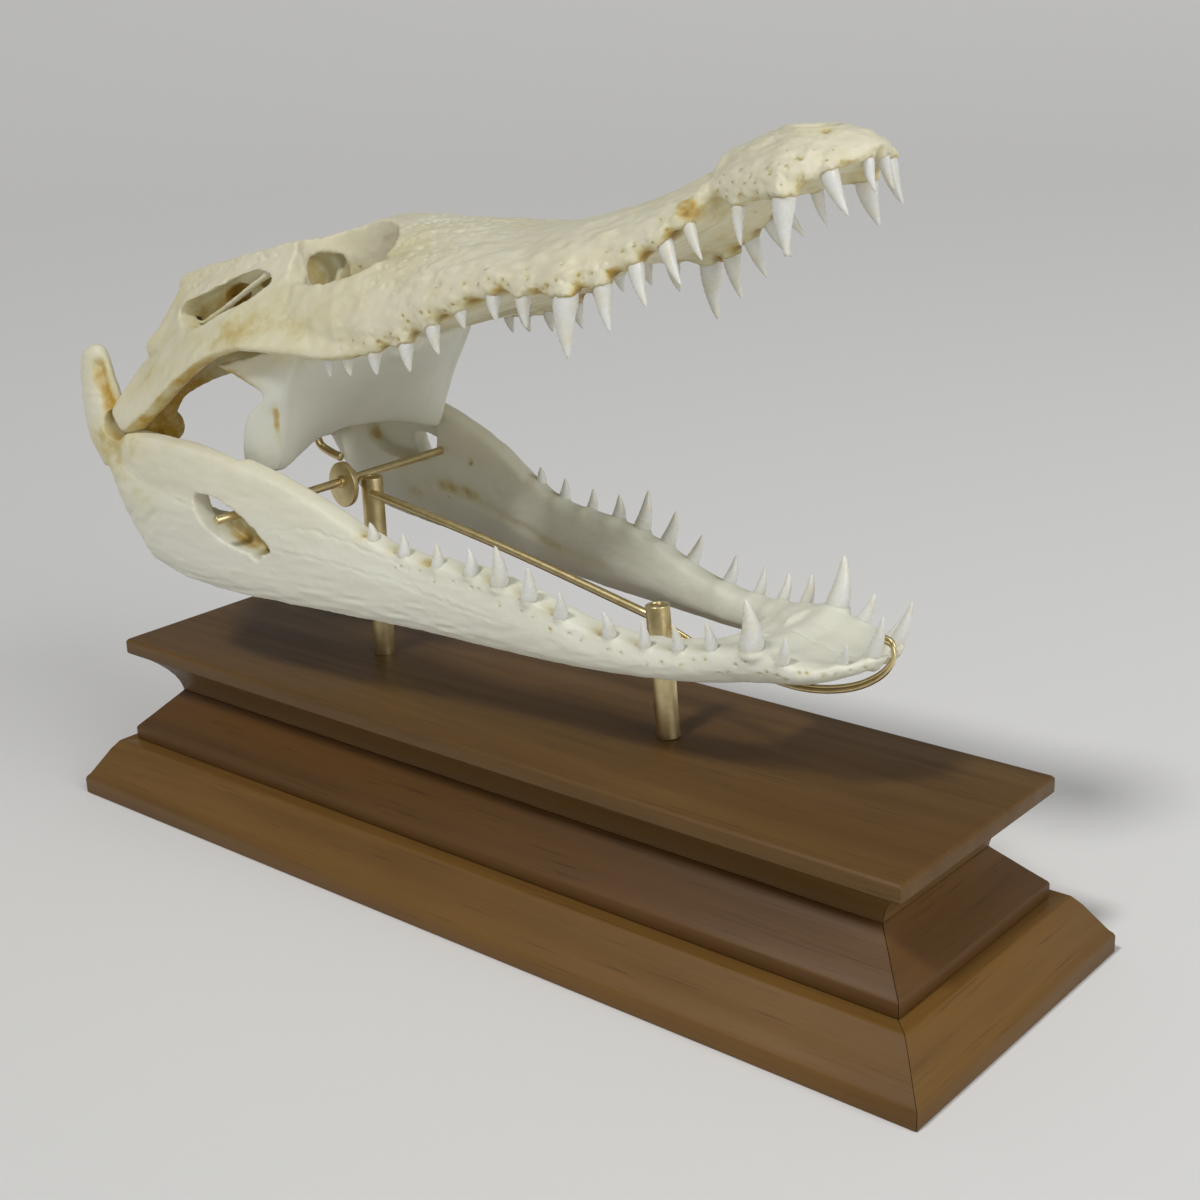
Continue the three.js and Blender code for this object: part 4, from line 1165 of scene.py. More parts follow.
class LowerJaw(Bone):
    """The lower jaw, drawn in the model's own millimetres."""

    NODE = "lower_jaw"
    CROWNS = "lower_teeth"
    TRIANGLES = 180_000

    TEETH = teeth_from([
        [184, 8.5, 146.5, 190, 10.5, 164.5, 3], [176, 17.5, 144.5, 180.5, 21, 154.5, 2.2],
        [156, 28.5, 144.5, 160, 31.9, 156.3, 2.8], [143, 30.2, 148.5, 143.5, 34.8, 169.5, 4.6],
        [125.7, 33.3, 145.6, 126, 37.2, 157.4, 2.6], [111.8, 36.6, 143.4, 112.2, 40.6, 154.6, 2.5],
        [97.1, 39.5, 142.5, 98.2, 42.4, 154, 2.4], [80, 41, 143.8, 80.8, 45.5, 155.2, 2.9],
        [57, 44.6, 148.7, 60, 48.6, 160.4, 2.9], [41.5, 46.7, 153.9, 44.5, 49.8, 168.4, 3.4],
        [26.2, 47.6, 157.8, 28, 51, 175.4, 3.8], [11.3, 49.1, 160, 11.5, 50, 171.2, 3.1],
        [-6.7, 51.2, 160.4, -5.8, 52, 171, 2.6], [-25, 52.9, 163, -24.4, 53.6, 172.9, 2.7],
        [-41.5, 55, 167.4, -42, 56, 175.4, 2.7],
    ])
    # x, half-width outside and inside, height of the upper and of the lower edge
    RAMUS = Rails([
        [-206, 75, 62, 201, 184], [-200, 76.5, 60, 201.5, 168], [-190, 77.5, 60, 200, 150],
        [-178, 78, 60, 199.5, 137.5], [-150, 77.5, 59, 199, 132.3], [-120, 74.5, 56.5, 195.5, 130.3],
        [-94, 70.5, 54, 189.5, 130], [-70, 66.5, 51, 181, 129.6], [-42, 61, 46, 168.3, 128.8],
        [-20, 57, 41.5, 162.5, 127.8], [10, 53.5, 37.5, 160.8, 126.6], [40, 50.5, 34.5, 155, 126],
        [60, 48, 32, 148.6, 125.8], [80, 45, 28.5, 144.4, 126], [98, 42.8, 24.5, 143, 126.8],
        [112, 40, 19, 143.8, 127.4], [126, 37, 10, 145.8, 128.4], [136, 34.8, 0.5, 148.2, 129.4],
    ])
    CHIN = Rails([
        [116, 38.6, 144, 128], [126, 37.2, 145.6, 128.6], [142, 34.2, 149, 130], [150, 31.6, 147, 131.2],
        [158, 31, 145.2, 132.6], [168, 27.5, 144.4, 135], [178, 21.5, 145.6, 138.6], [185, 14.5, 147, 142],
        [189, 7, 148, 145],
    ])
    # along the process: x, y, z, half-length and half-thickness
    SPUR = Rails([
        [0, -197, 68, 186, 14, 8.5], [1, -206, 68, 197, 14, 8], [2, -213, 66.5, 209, 13, 7],
        [3, -218.2, 64.5, 220, 11.4, 6.2], [4, -221.4, 63, 230, 9.4, 5.4],
        [4.6, -222.6, 62.7, 234.4, 7, 4.2],
        [5, -223, 62.5, 236.8, 2.4, 1.6],
    ])
    WINDOW = np.array([
        [-138, 178], [-137, 170], [-131, 162.5], [-120, 157], [-108, 154], [-97, 154.5], [-95, 158.5],
        [-104, 167], [-114, 174], [-127, 178.5],
    ])
    MUSCLE_ROOM = np.array([
        [-168, 178], [-154, 168], [-132, 166], [-116, 170], [-112, 178], [-120, 215], [-170, 215],
    ])
    TROUGH = ((-193, 70, 199), (-200, 70, 207), (-206, 68.5, 216), (-212.5, 67, 228))
    HOLLOW = ((-196, 77, 190), (-178, 79, 180), (-158, 79, 177), (-142, 78, 178))
    CANAL = ((-108, 56, 158), (-88, 53, 154), (-60, 49, 149), (-30, 43, 143), (10, 37, 139))
    SEAMS = (
        ((-92, 71, 158), (-60, 66, 156), (-30, 60, 152), (20, 54, 143), (60, 50, 137)),
        ((-96, 71, 166), (-72, 66, 170), (-50, 62, 166), (-20, 57, 158)),
        ((-138, 78, 172), (-160, 79, 176), (-186, 78, 182)),
    )

    # stains on the left side: anywhere, and on its inner faces
    STAINS = (
        (2.2, (-191, 54, 188), (15, 13, 9)), (1.5, (-165, 65, 170), (3.6, 4, 8)),
        (0.45, (-192, 76, 196), (26, 10, 9)), (1.2, (-120, 62, 156), (20, 5, 12)),
        (0.3, (-175, 79, 172), (10, 4, 8)), (0.22, (-205, 76, 186), (10, 8, 16)),
    )
    INNER_STAINS = ((0.5, (-96, 54, 157), (18, 6, 3.6)),)

    # ---- bodies ----

    def ramus(self) -> list[np.ndarray]:
        """Returns the left side's rings, from the joint to the chin, with a low scallop round each tooth."""
        rings = []
        for x in np.linspace(-206, 134, 220):
            outer, inner, top, bottom = self.RAMUS(x)
            if x > -50:
                top += 0.9 * (festoon(x, self.TEETH) - 0.4)
            width, height = outer - inner, top - bottom
            ring = np.array([(x, y, z) for y, z in (
                (inner + width * 0.22, top), (outer - width * 0.2, top - 0.6),
                (outer - 0.6, top - height * 0.24),
                (outer, top - height * 0.5), (outer - width * 0.16, bottom + height * 0.16),
                (outer - width * 0.46, bottom), (outer - width * 0.72, bottom + height * 0.08),
                (inner - width * 0.02, bottom + height * 0.36), (inner, top - height * 0.28))])
            rings.append(rounded(ring, 72, 0.42))
        return rings

    def chin(self) -> list[np.ndarray]:
        """Returns the rings of the chin, where the two sides are one."""
        rings = []
        for t in np.linspace(0, 1, 80):
            x = 116 + 73 * (1 - (1 - t) ** 1.5)
            half, above, below = self.CHIN(x)
            above += 0.9 * (festoon(x, self.TEETH) - 0.4)
            height = above - below
            ring = two_sided(x, [
                [0, below + height * 0.16], [half * 0.4, below], [half * 0.78, below + height * 0.12],
                [half * 0.98, below + height * 0.45], [half, above - height * 0.2],
                [half * 0.92, above - 0.4],
                [half * 0.72, above], [half * 0.4, above - 2.4], [0, above - 3],
            ])
            rings.append(rounded(ring, 96, 0.42))
        return rings

    def spur(self) -> list[np.ndarray]:
        """Returns the rings of the process behind the joint, rising to a rounded spoon."""
        rings = []
        for along in np.linspace(0, 5, 50):
            x, y, z, length, depth = self.SPUR(along)
            section = oval((0, 0), (length, depth), 36)
            rings.append(np.stack([x + section[:, 0], y + section[:, 1], z + section[:, 0] * 0.45], axis=1))
        return rings

    def ledge(self) -> list[np.ndarray]:
        """Returns the rings of the ledge inside the joint that the roller turns on."""
        rings = []
        for t in np.linspace(0, 1, 20):
            section = oval((-196 + 2 * t, 178 + 5 * t), (9, 12 - 5 * (1 - t)), 32)
            rings.append(np.insert(section, 1, 46 + 26 * t, axis=1))
        return rings

    def socket_room(self) -> list[np.ndarray]:
        """Returns the rings of the hollow that the roller sits in."""
        rings = []
        for t in np.linspace(-0.25, 1.25, 20):
            u, w = 26.5 - 5 * t, -6.5 + 6.5 * t
            x = Cranium.JOINT[0] + u * math.cos(Cranium.PITCH) - w * math.sin(Cranium.PITCH)
            z = Cranium.JOINT[2] + u * math.sin(Cranium.PITCH) + w * math.cos(Cranium.PITCH)
            reach = 9.2 - 1.2 * min(max(t / 0.4, 0), 1)
            rings.append(np.insert(oval((x, z), (reach, reach * 0.94), 32), 1, 44 + 27 * t, axis=1))
        return rings

    def model(self) -> None:
        """Fuses the bones and opens the holes in them."""
        clay = self.clay
        clay.add(self.chin())
        for rings in (self.ramus(), self.spur(), self.ledge(), *(tooth.collar() for tooth in self.TEETH)):
            clay.add_pair(rings)
        clay.cut_pair(prism(rounded(self.WINDOW, 60), 62, 90, Axis.ACROSS))
        clay.cut_pair(prism(rounded(self.MUSCLE_ROOM, 60, 0.35), 40, 66, Axis.ACROSS))
        clay.cut_pair(prism(oval((-103.5, 153.2), (2.8, 2.3)), 55, 90, Axis.ACROSS))
        clay.cut_pair(self.socket_room())
        clay.fuse()

    # ---- surface ----

    def relief(self) -> np.ndarray:
        """Returns how far each point of the bone stands out from its smooth form."""
        p, n = self.clay.points, self.clay.normals
        side = folded(p)
        outer = ramp(-inwardness(p, n), 0.1, 0.6)
        front = ramp(p[:, 0], -80, -10)
        heights = 0.09 * waves(p, 1.9, 41) + 0.14 * waves(p, (9, 3.5, 3.5), 42)
        heights += outer * front * 0.2 * waves(p, (9, 2, 1.7), 43)
        heights += outer * (1 - front) * 0.2 * waves(p, (12, 3, 2.4), 44)
        rough = near(side, (-176, 78, 170), (22, 14, 22)) * outer
        slanted = np.stack([p[:, 0] * 0.8 + p[:, 2] * 0.6, p[:, 1], p[:, 2] * 0.8 - p[:, 0] * 0.6], axis=1)
        heights += rough * 0.8 * waves(slanted, (15, 6, 3.2), 45)
        low = ramp(p[:, 2], 150, 134) * ramp(p[:, 0], 60, -20)
        heights += low * outer * 0.4 * waves(p, (14, 4, 2), 46)
        for seam in self.SEAMS:
            wavy = side + 1.2 * np.stack([waves(p, 3, 50), np.zeros(len(p)), waves(p, 3, 51)], axis=1)
            gap = line_distance(wavy * (1, 0, 1), np.array(seam) * (1, 0, 1))
            fade = 0.35 + 0.65 * ramp(waves(p, 16, 53), -0.3, 0.4)
            lips = 0.2 * np.exp(-((gap - 1.3) / 1.0) ** 2) - 0.32 * np.exp(-(gap / 0.8) ** 2)
            heights += outer * fade * lips
        middle = np.exp(-((p[:, 1] + 0.7 * waves(p, 3, 52)) / 0.7) ** 2) * ramp(p[:, 0], 128, 138)
        heights -= 0.45 * middle
        heights -= 3.0 * along_line(side, self.TROUGH, 3.4)
        heights -= 1.2 * outer * along_line(side, self.HOLLOW, 5.0)
        heights -= 0.5 * ramp(inwardness(p, n), 0, 0.5) * along_line(side, self.CANAL, 3.2)
        return heights

    def foramina(self) -> list[tuple[Point, float]]:
        """Returns the small nerve holes' places and radii, below the teeth and round the chin."""
        rng = np.random.default_rng(11)
        holes: list[tuple[Point, float]] = []
        for side in (1, -1):
            for x in np.arange(-30, 122, 8.5):
                outer, _, top, _ = self.RAMUS(x)
                place = (x + rng.normal(0, 1.5), side * outer, top - rng.uniform(4, 8))
                holes.append((place, rng.uniform(0.5, 0.8)))
            for x in np.arange(122, 186, 4.2):
                half, above, below = self.CHIN(x)
                place = (x + rng.normal(0, 1), side * half, above - rng.uniform(0.2, 0.7) * (above - below))
                holes.append((place, rng.uniform(0.5, 0.85)))
            for tooth in self.TEETH[4:]:
                place = (tooth.socket[0] - 3.4, side * (tooth.socket[1] + 2), tooth.socket[2] + 1)
                holes.append((place, rng.uniform(0.6, 0.9)))
            holes.append(((-86, side * 53, 172), 1.2))
        return holes

    def stains(self) -> np.ndarray:
        """Returns how yellow each point is."""
        p, n = self.clay.points, self.clay.normals
        side = folded(p)
        inner = ramp(inwardness(p, n), -0.1, 0.4)
        amount = spots(side, self.STAINS) + inner * spots(side, self.INNER_STAINS)
        amount += 1.5 * along_line(side, self.TROUGH, 4.0)
        amount += 0.35 * inner * along_line(side, self.CANAL, 4.0)
        patches = ramp(waves(p, (7, 5, 4), 62), -0.2, 0.6)
        amount += 0.3 * patches * near(side, (-196, 76, 176), (12, 8, 14))
        for place, radius in self.foramina():
            amount += 0.45 * near(p, place, 1.9 * radius)
        for tooth in self.TEETH[4:]:
            x, y, z = tooth.socket
            amount += 0.5 * near(side, (x - 4.5, y + 1, z + 1.2), (4.5, 4, 2.4))
        return amount * (0.8 + 0.4 * waves(p, 6, 60)) + 0.07 * waves(p, 14, 61)

    def cleanness(self) -> np.ndarray:
        """Returns how white and smooth each point is, most so low down."""
        return 0.3 + 0.5 * ramp(-self.clay.points[:, 2], -192, -150)


# --------------------------------------------------------------------------------------------------------
# Mount
# --------------------------------------------------------------------------------------------------------

@dataclass(frozen=True)
class Mount:
    """The brass posts, rods, clamp, hook and wire that hold the skull."""

    finish: "BrassFinish"
    post_radius: float = 5.3
    rod_radius: float = 2.0
    wire_radius: float = 0.9
    rear_post: tuple[Point, Point] = ((-104.4, 4, 84), (-104.4, 4, 173.5))
    front_post: tuple[Point, Point] = ((76, 1, 84), (71.5, 1, 143.5))
    crossbar: tuple[Point, Point] = ((-118.4, -80, 169.6), (-107.5, 62, 175))
    tongue_middle: Point = (-112.6, -6.7, 170.8)
    tongue_radii: Point = (9.0, 11.0, 1.5)
    slot_size: Point = (7.0, 0.9, 2.4)
    slot_turn: float = 20.0

    LONG_ROD = ((-101.5, 1, 166.4), (-20, 0.5, 154.5), (69, 0, 138.0))
    HOOK = ((-113, -6.5, 184), (-120, -6.5, 185.5), (-128, -6, 188.5), (-131, -5, 195), (-128, -4, 203),
            (-120, -3, 209), (-113, -2, 212.5))
    WIRE_COPIES = ((0, 0, 0), (-0.9, 1.6, 1.2))
    WIRE = ((79.5, 0, 133), (100, -1, 127.4), (125, -3, 124.8), (148, -5, 124.2), (165, -5.5, 127),
            (179, -5.5, 132.5), (188.4, -5, 140), (191, -4, 146), (189.4, -3, 150.3), (185, -2.5, 151.5))

    def rod(self, name: str, stops: Sequence[Point], radius: float, count: int,
            beside: Sequence[Point] = ((0, 0, 0),)) -> bpy.types.Object:
        """Makes a round rod with eased ends, or a few side by side.

        Args:
            name: the piece's name.
            stops: the points that its middle line passes through.
            radius: its radius.
            count: how many rings it has along its length.
            beside: how far each copy is moved.

        Returns:
            The rod.
        """
        line = smooth_line(stops, count)
        ahead, behind = line[-1] - line[-2], line[0] - line[1]
        ease = radius * 0.18
        ahead, behind = ahead / np.linalg.norm(ahead), behind / np.linalg.norm(behind)
        line = np.vstack([line[0], line[0] - behind * ease * 0.3, line[0] - behind * ease, line[1:-1],
                          line[-1] - ahead * ease, line[-1] - ahead * ease * 0.3, line[-1]])
        widths = np.full(len(line), radius)
        widths[[0, -1]] = radius - ease
        widths[[1, -2]] = radius - ease * 0.35
        piece = piece_from(name, pour(loft(tube(line + np.array(shift), widths, 32)) for shift in beside), MM)
        shade_smooth(piece, 50)
        return piece

    def post(self, name: str, ends: tuple[Point, Point], slotted: bool) -> bpy.types.Object:
        """Turns a post with an eased rim, a shallow dished top and, if slotted, a slot across it."""
        foot, head = Vector(ends[0]), Vector(ends[1])
        length, radius = (head - foot).length, self.post_radius
        body = bmesh.new()
        bmesh.ops.create_cone(body, cap_ends=True, segments=64, radius1=radius, radius2=radius, depth=length)
        top = max(body.faces, key=lambda face: face.calc_center_median().z)
        rim = list(top.edges)
        bmesh.ops.bevel(body, geom=rim, offset=0.5, segments=3, affect="EDGES", profile=0.5, material=-1)
        top = max(body.faces, key=lambda face: (face.calc_center_median().z, face.calc_area()))
        bmesh.ops.inset_individual(body, faces=[top], thickness=radius * 0.26)
        bmesh.ops.inset_individual(body, faces=[top], thickness=0.25, depth=-0.45)
        lean = Vector((0, 0, 1)).rotation_difference(head - foot).to_matrix().to_4x4()
        body.transform(Matrix.Translation((foot + head) / 2) @ lean)
        piece = piece_from(name, body, MM)
        if slotted:
            slot = bmesh.new()
            turn = Matrix.Rotation(math.radians(self.slot_turn), 4, "Z")
            across = Matrix.Translation(head) @ lean @ turn @ Matrix.Diagonal((*self.slot_size, 1))
            bmesh.ops.create_cube(slot, size=1.0, matrix=across)
            tool = piece_from("slot_cutter", slot, MM)
            saw = piece.modifiers.new("saw", "BOOLEAN")
            saw.operation, saw.solver, saw.object = "DIFFERENCE", "EXACT", tool
            settle(piece)
            bpy.data.objects.remove(tool)
        shade_smooth(piece, 35)
        return piece

    def tongue(self) -> bpy.types.Object:
        """Makes the clamp's oval plate with eased edges and a collar round the crossbar."""
        plate = bmesh.new()
        lay = Matrix.Translation(self.tongue_middle) @ Matrix.Rotation(math.pi / 2, 4, "X")
        rx, rz, half = self.tongue_radii
        bmesh.ops.create_cone(plate, cap_ends=True, segments=64, radius1=1, radius2=1, depth=2 * half,
                              matrix=lay @ Matrix.Diagonal((rx, rz, 1, 1)))
        rims = [edge for edge in plate.edges if abs(edge.verts[0].co.y - edge.verts[1].co.y) < 1e-4]
        bmesh.ops.bevel(plate, geom=rims, offset=0.45, segments=3, affect="EDGES", profile=0.5, material=-1)
        near_end, far_end = (np.array(end) for end in self.crossbar)
        share = (self.tongue_middle[1] - near_end[1]) / (far_end[1] - near_end[1])
        collar_at = near_end + (far_end - near_end) * share
        along = (far_end - near_end) / np.linalg.norm(far_end - near_end)
        line = np.array([collar_at + along * step for step in (-3.0, -2.7, 0, 0.2, 6.2, 6.7)])
        collar = loft(tube(line, np.array([2.5, 2.9, 2.9, 4.3, 4.3, 3.8]), 32))
        piece = piece_from("clamp_plate", pour([plate, collar]), MM)
        shade_smooth(piece, 35)
        return piece

    def build(self) -> None:
        """Makes every brass piece."""
        pieces = (
            (self.post("rear_post_turned", self.rear_post, False), "rear_post"),
            (self.post("front_post_turned", self.front_post, True), "front_post"),
            (self.rod("crossbar_rod", self.crossbar, self.rod_radius, 12), "crossbar"),
            (self.rod("jaw_rod", self.LONG_ROD, self.rod_radius, 30), "long_rod"),
            (self.rod("cranium_hook_rod", self.HOOK, self.rod_radius, 60), "cranium_hook"),
            (self.rod("chin_wire", self.WIRE, self.wire_radius, 120, self.WIRE_COPIES), "jaw_wire"),
            (self.tongue(), "clamp_tongue"),
        )
        for piece, node in pieces:
            self.finish.dress(piece)
            hand_over(piece, "brass", node)


# --------------------------------------------------------------------------------------------------------
# Plinth
# --------------------------------------------------------------------------------------------------------

@dataclass(frozen=True)
class Tier:
    """One step of the plinth: four mitred boards round its edge, with an optional plate on top."""

    name: str
    node: str
    slot: str
    profile: tuple[tuple[float, float], ...]
    plate: tuple[tuple[float, float], ...] = ()


@dataclass(frozen=True)
class Plinth:
    """The stepped walnut plinth."""

    top: "WoodFinish"
    middle: "WoodFinish"
    bottom: "WoodFinish"
    length: float = 500.0
    width: float = 161.0
    board_width: float = 46.0
    joint: float = 0.12
    ease: float = 0.35

    TIERS = (
        Tier("plinth_foot", "plinth_bottom", "wood_bottom",
             ((0.4, 0), (0, 0.8), (0, 8), (0.6, 9.4), (2, 10.8), (6, 17), (10.5, 24), (14, 28.2),
              (15, 28.6))),
        Tier("plinth_waist", "plinth_middle", "wood_middle",
             ((21, 28.6), (20.8, 29.4), (20.8, 35), (21.4, 36), (27.3, 41.8), (33.1, 47.7), (38.6, 53.2),
              (39.5, 54.4))),
        Tier("plinth_cap", "plinth_top", "wood_top",
             ((39.5, 54.4), (39.2, 56), (38.4, 59), (36.8, 62.4), (34.4, 65.8), (31.4, 69), (28, 71.9),
              (24.6, 74.2), (21.6, 75.8), (20.8, 76.4)),
             ((20.8, 76.4), (20.8, 82.6), (21.9, 83.9))),
    )

    def board(self, profile: Sequence[tuple[float, float]], turn: int) -> bmesh.types.BMesh:
        """Makes one mitred board.

        Args:
            profile: [inset, height] pairs up the board's outer face.
            turn: 0 for the front, 1 for the right end, 2 for the back and 3 for the left end.

        Returns:
            The board.
        """
        long_side = turn % 2 == 0
        reach = (self.length if long_side else self.width) / 2
        away = (self.width if long_side else self.length) / 2
        inner, low, high = profile[0][0] + self.board_width, profile[0][1], profile[-1][1]
        section = [*profile, (inner, high), (inner, low)]
        reach -= self.joint
        board = loft([np.array([(end * (reach - inset), inset - away, z) for inset, z in section])
                      for end in (-1, 1)])
        edges = [edge for edge in board.edges if edge.calc_face_angle(0) > math.radians(28)]
        bmesh.ops.bevel(board, geom=edges, offset=self.ease, segments=2, affect="EDGES", profile=0.5,
                        material=-1, clamp_overlap=True)
        board.transform(Matrix.Rotation(turn * math.pi / 2, 4, "Z"))
        for face in board.faces:
            face.material_index = turn % 2
        return board

    def plate(self, profile: Sequence[tuple[float, float]]) -> bmesh.types.BMesh:
        """Makes the top plate, one wide board with eased edges."""
        rings = []
        for inset, z in profile:
            x, y = self.length / 2 - inset, self.width / 2 - inset
            rings.append(np.array([(-x, -y, z), (x, -y, z), (x, y, z), (-x, y, z)]))
        plate = loft(rings)
        edges = [edge for edge in plate.edges if edge.calc_face_angle(0) > math.radians(20)]
        bmesh.ops.bevel(plate, geom=edges, offset=self.ease, segments=3, affect="EDGES", profile=0.5,
                        material=-1)
        return plate

    def build(self) -> None:
        """Makes the three tiers."""
        for tier, finish in zip(self.TIERS, (self.bottom, self.middle, self.top)):
            boards = [self.board(tier.profile, turn) for turn in range(4)]
            if tier.plate:
                boards.append(self.plate(tier.plate))
            piece = piece_from(tier.name, pour(boards), MM)
            shade_smooth(piece, 30)
            finish.dress(piece)
            hand_over(piece, tier.slot, tier.node)


# --------------------------------------------------------------------------------------------------------
# Finishes
# --------------------------------------------------------------------------------------------------------

class Recipe:
    """A material's node tree, with short ways to add to it."""

    def __init__(self, name: str) -> None:
        """Starts a material with one shader."""
        self.material = bpy.data.materials.new(name)
        self.material.use_nodes = True
        self.tree = self.material.node_tree
        self.shader = self.tree.nodes["Principled BSDF"]
        self.place = self.tree.nodes.new("ShaderNodeTexCoord").outputs["Object"]

    def link(self, source: bpy.types.NodeSocket, target: bpy.types.NodeSocket) -> None:
        """Links two sockets."""
        self.tree.links.new(source, target)

    def set(self, **values: float | Colour) -> None:
        """Sets the shader's own sockets, named with underscores for spaces."""
        for name, value in values.items():
            socket = self.shader.inputs[name.replace("_", " ")]
            socket.default_value = (*value, 1.0) if socket.type == "RGBA" and len(value) == 3 else value

    def stretch(self, scale: Point, turn: float = 0.0) -> bpy.types.NodeSocket:
        """Returns the place, turned about Z and then scaled along each axis."""
        turned = self.tree.nodes.new("ShaderNodeMapping")
        turned.inputs["Rotation"].default_value = (0, 0, turn)
        self.link(self.place, turned.inputs["Vector"])
        scaled = self.tree.nodes.new("ShaderNodeMapping")
        scaled.inputs["Scale"].default_value = scale
        self.link(turned.outputs["Vector"], scaled.inputs["Vector"])
        return scaled.outputs["Vector"]

    def noise(self, scale: float, detail: float = 3.0, rough: float = 0.55,
              place: bpy.types.NodeSocket | None = None, distortion: float = 0.0) -> bpy.types.NodeSocket:
        """Returns noise from 0 to 1.

        Args:
            scale: swells to the metre.
            detail: how many finer layers it has.
            rough: how strong the finer layers are.
            place: where it is read, or None for the object's own coordinates.
            distortion: how far it is pulled about.

        Returns:
            The noise's socket.
        """
        node = self.tree.nodes.new("ShaderNodeTexNoise")
        settings = {"Scale": scale, "Detail": detail, "Roughness": rough, "Distortion": distortion}
        for key, value in settings.items():
            node.inputs[key].default_value = value
        self.link(place or self.place, node.inputs["Vector"])
        return node.outputs["Fac"]

    def attribute(self, name: str) -> bpy.types.NodeSocket:
        """Returns a number stored on the piece's points."""
        node = self.tree.nodes.new("ShaderNodeAttribute")
        node.attribute_name = name
        return node.outputs["Fac"]

    def span(self, value: bpy.types.NodeSocket, low: float, high: float, start: float = 0.0,
             end: float = 1.0) -> bpy.types.NodeSocket:
        """Returns a value mapped from low..high to start..end and held there."""
        node = self.tree.nodes.new("ShaderNodeMapRange")
        for key, number in (("From Min", low), ("From Max", high), ("To Min", start), ("To Max", end)):
            node.inputs[key].default_value = number
        self.link(value, node.inputs["Value"])
        return node.outputs["Result"]

    def product(self, first: bpy.types.NodeSocket, second: bpy.types.NodeSocket) -> bpy.types.NodeSocket:
        """Returns the product of two numbers."""
        node = self.tree.nodes.new("ShaderNodeMath")
        node.operation = "MULTIPLY"
        self.link(first, node.inputs[0])
        self.link(second, node.inputs[1])
        return node.outputs["Value"]

    def blend(self, share: bpy.types.NodeSocket, first: bpy.types.NodeSocket | Colour,
              second: bpy.types.NodeSocket | Colour) -> bpy.types.NodeSocket:
        """Returns a mix of two colours.

        Args:
            share: 0 for the first and 1 for the second.
            first: a colour or a socket.
            second: a colour or a socket.

        Returns:
            The mixed colour's socket.
        """
        node = self.tree.nodes.new("ShaderNodeMix")
        node.data_type = "RGBA"
        self.link(share, node.inputs[0])
        for socket, colour in ((node.inputs[6], first), (node.inputs[7], second)):
            if isinstance(colour, tuple):
                socket.default_value = (*colour, 1.0)
            else:
                self.link(colour, socket)
        return node.outputs[2]

    def bump(self, height: bpy.types.NodeSocket, depth: float, strength: float = 1.0) -> None:
        """Adds fine relief of a depth in metres to the shader, on top of any it has."""
        node = self.tree.nodes.new("ShaderNodeBump")
        node.inputs["Distance"].default_value = depth
        node.inputs["Strength"].default_value = strength
        self.link(height, node.inputs["Height"])
        normal = self.shader.inputs["Normal"]
        if normal.is_linked:
            self.link(normal.links[0].from_socket, node.inputs["Normal"])
        self.link(node.outputs["Normal"], normal)


@dataclass(frozen=True)
class BoneFinish:
    """Clean dry bone: ivory, satin, with ochre stains in its hollows, and painted shade in its nerve holes,
    in the pits between teeth and round the sockets.
    """

    name: str = "dry_bone"
    ivory: Colour = (0.76, 0.72, 0.55)
    cream: Colour = (0.69, 0.635, 0.43)
    white: Colour = (0.75, 0.75, 0.65)
    ochre: Colour = (0.46, 0.27, 0.02)
    olive: Colour = (0.60, 0.535, 0.22)
    painted_shade: Colour = (0.18, 0.10, 0.02)

    def dress(self, piece: bpy.types.Object) -> None:
        """Gives a piece this finish, with its painted stains and painted shade."""
        recipe = Recipe(self.name)
        broad = recipe.span(recipe.noise(28, 4, 0.6), 0.35, 0.7)
        colour = recipe.blend(broad, self.ivory, self.cream)
        soft = recipe.span(recipe.noise(90, 3), 0.4, 0.65, 0.0, 0.6)
        colour = recipe.blend(soft, colour, self.ivory)
        colour = recipe.blend(recipe.attribute("clean"), colour, self.white)
        blotch = recipe.span(recipe.noise(160, 4, 0.65), 0.3, 0.7, 0.55, 1.25)
        # the stains, with the painted shade of the pits between teeth mixed in
        stain_and_shade = recipe.product(recipe.attribute("stain_and_shade"), blotch)
        colour = recipe.blend(recipe.span(stain_and_shade, 0.02, 0.45, 0.0, 0.6), colour, self.olive)
        colour = recipe.blend(recipe.span(stain_and_shade, 0.25, 0.95, 0.0, 0.95), colour, self.ochre)
        # painted shade: umber laid into the nerve holes, the pits between teeth and the rims of the sockets
        colour = recipe.blend(recipe.span(recipe.attribute("dark"), 0.08, 0.8, 0.0, 0.85), colour, self.painted_shade)
        recipe.link(colour, recipe.shader.inputs["Base Color"])
        recipe.link(recipe.span(recipe.noise(300, 3), 0.3, 0.7, 0.4, 0.58), recipe.shader.inputs["Roughness"])
        recipe.set(Subsurface_Weight=0.1, Subsurface_Radius=(1.0, 0.75, 0.5), Subsurface_Scale=0.0016,
                   Specular_IOR_Level=0.42)
        recipe.bump(recipe.noise(1500, 4, 0.6), 0.00012, 0.6)
        recipe.bump(recipe.noise(420, 5, 0.6, recipe.stretch((0.35, 1, 1))), 0.0003, 0.55)
        # the Booleans leave empty slots, which would come first
        piece.data.materials.clear()
        piece.data.materials.append(recipe.material)


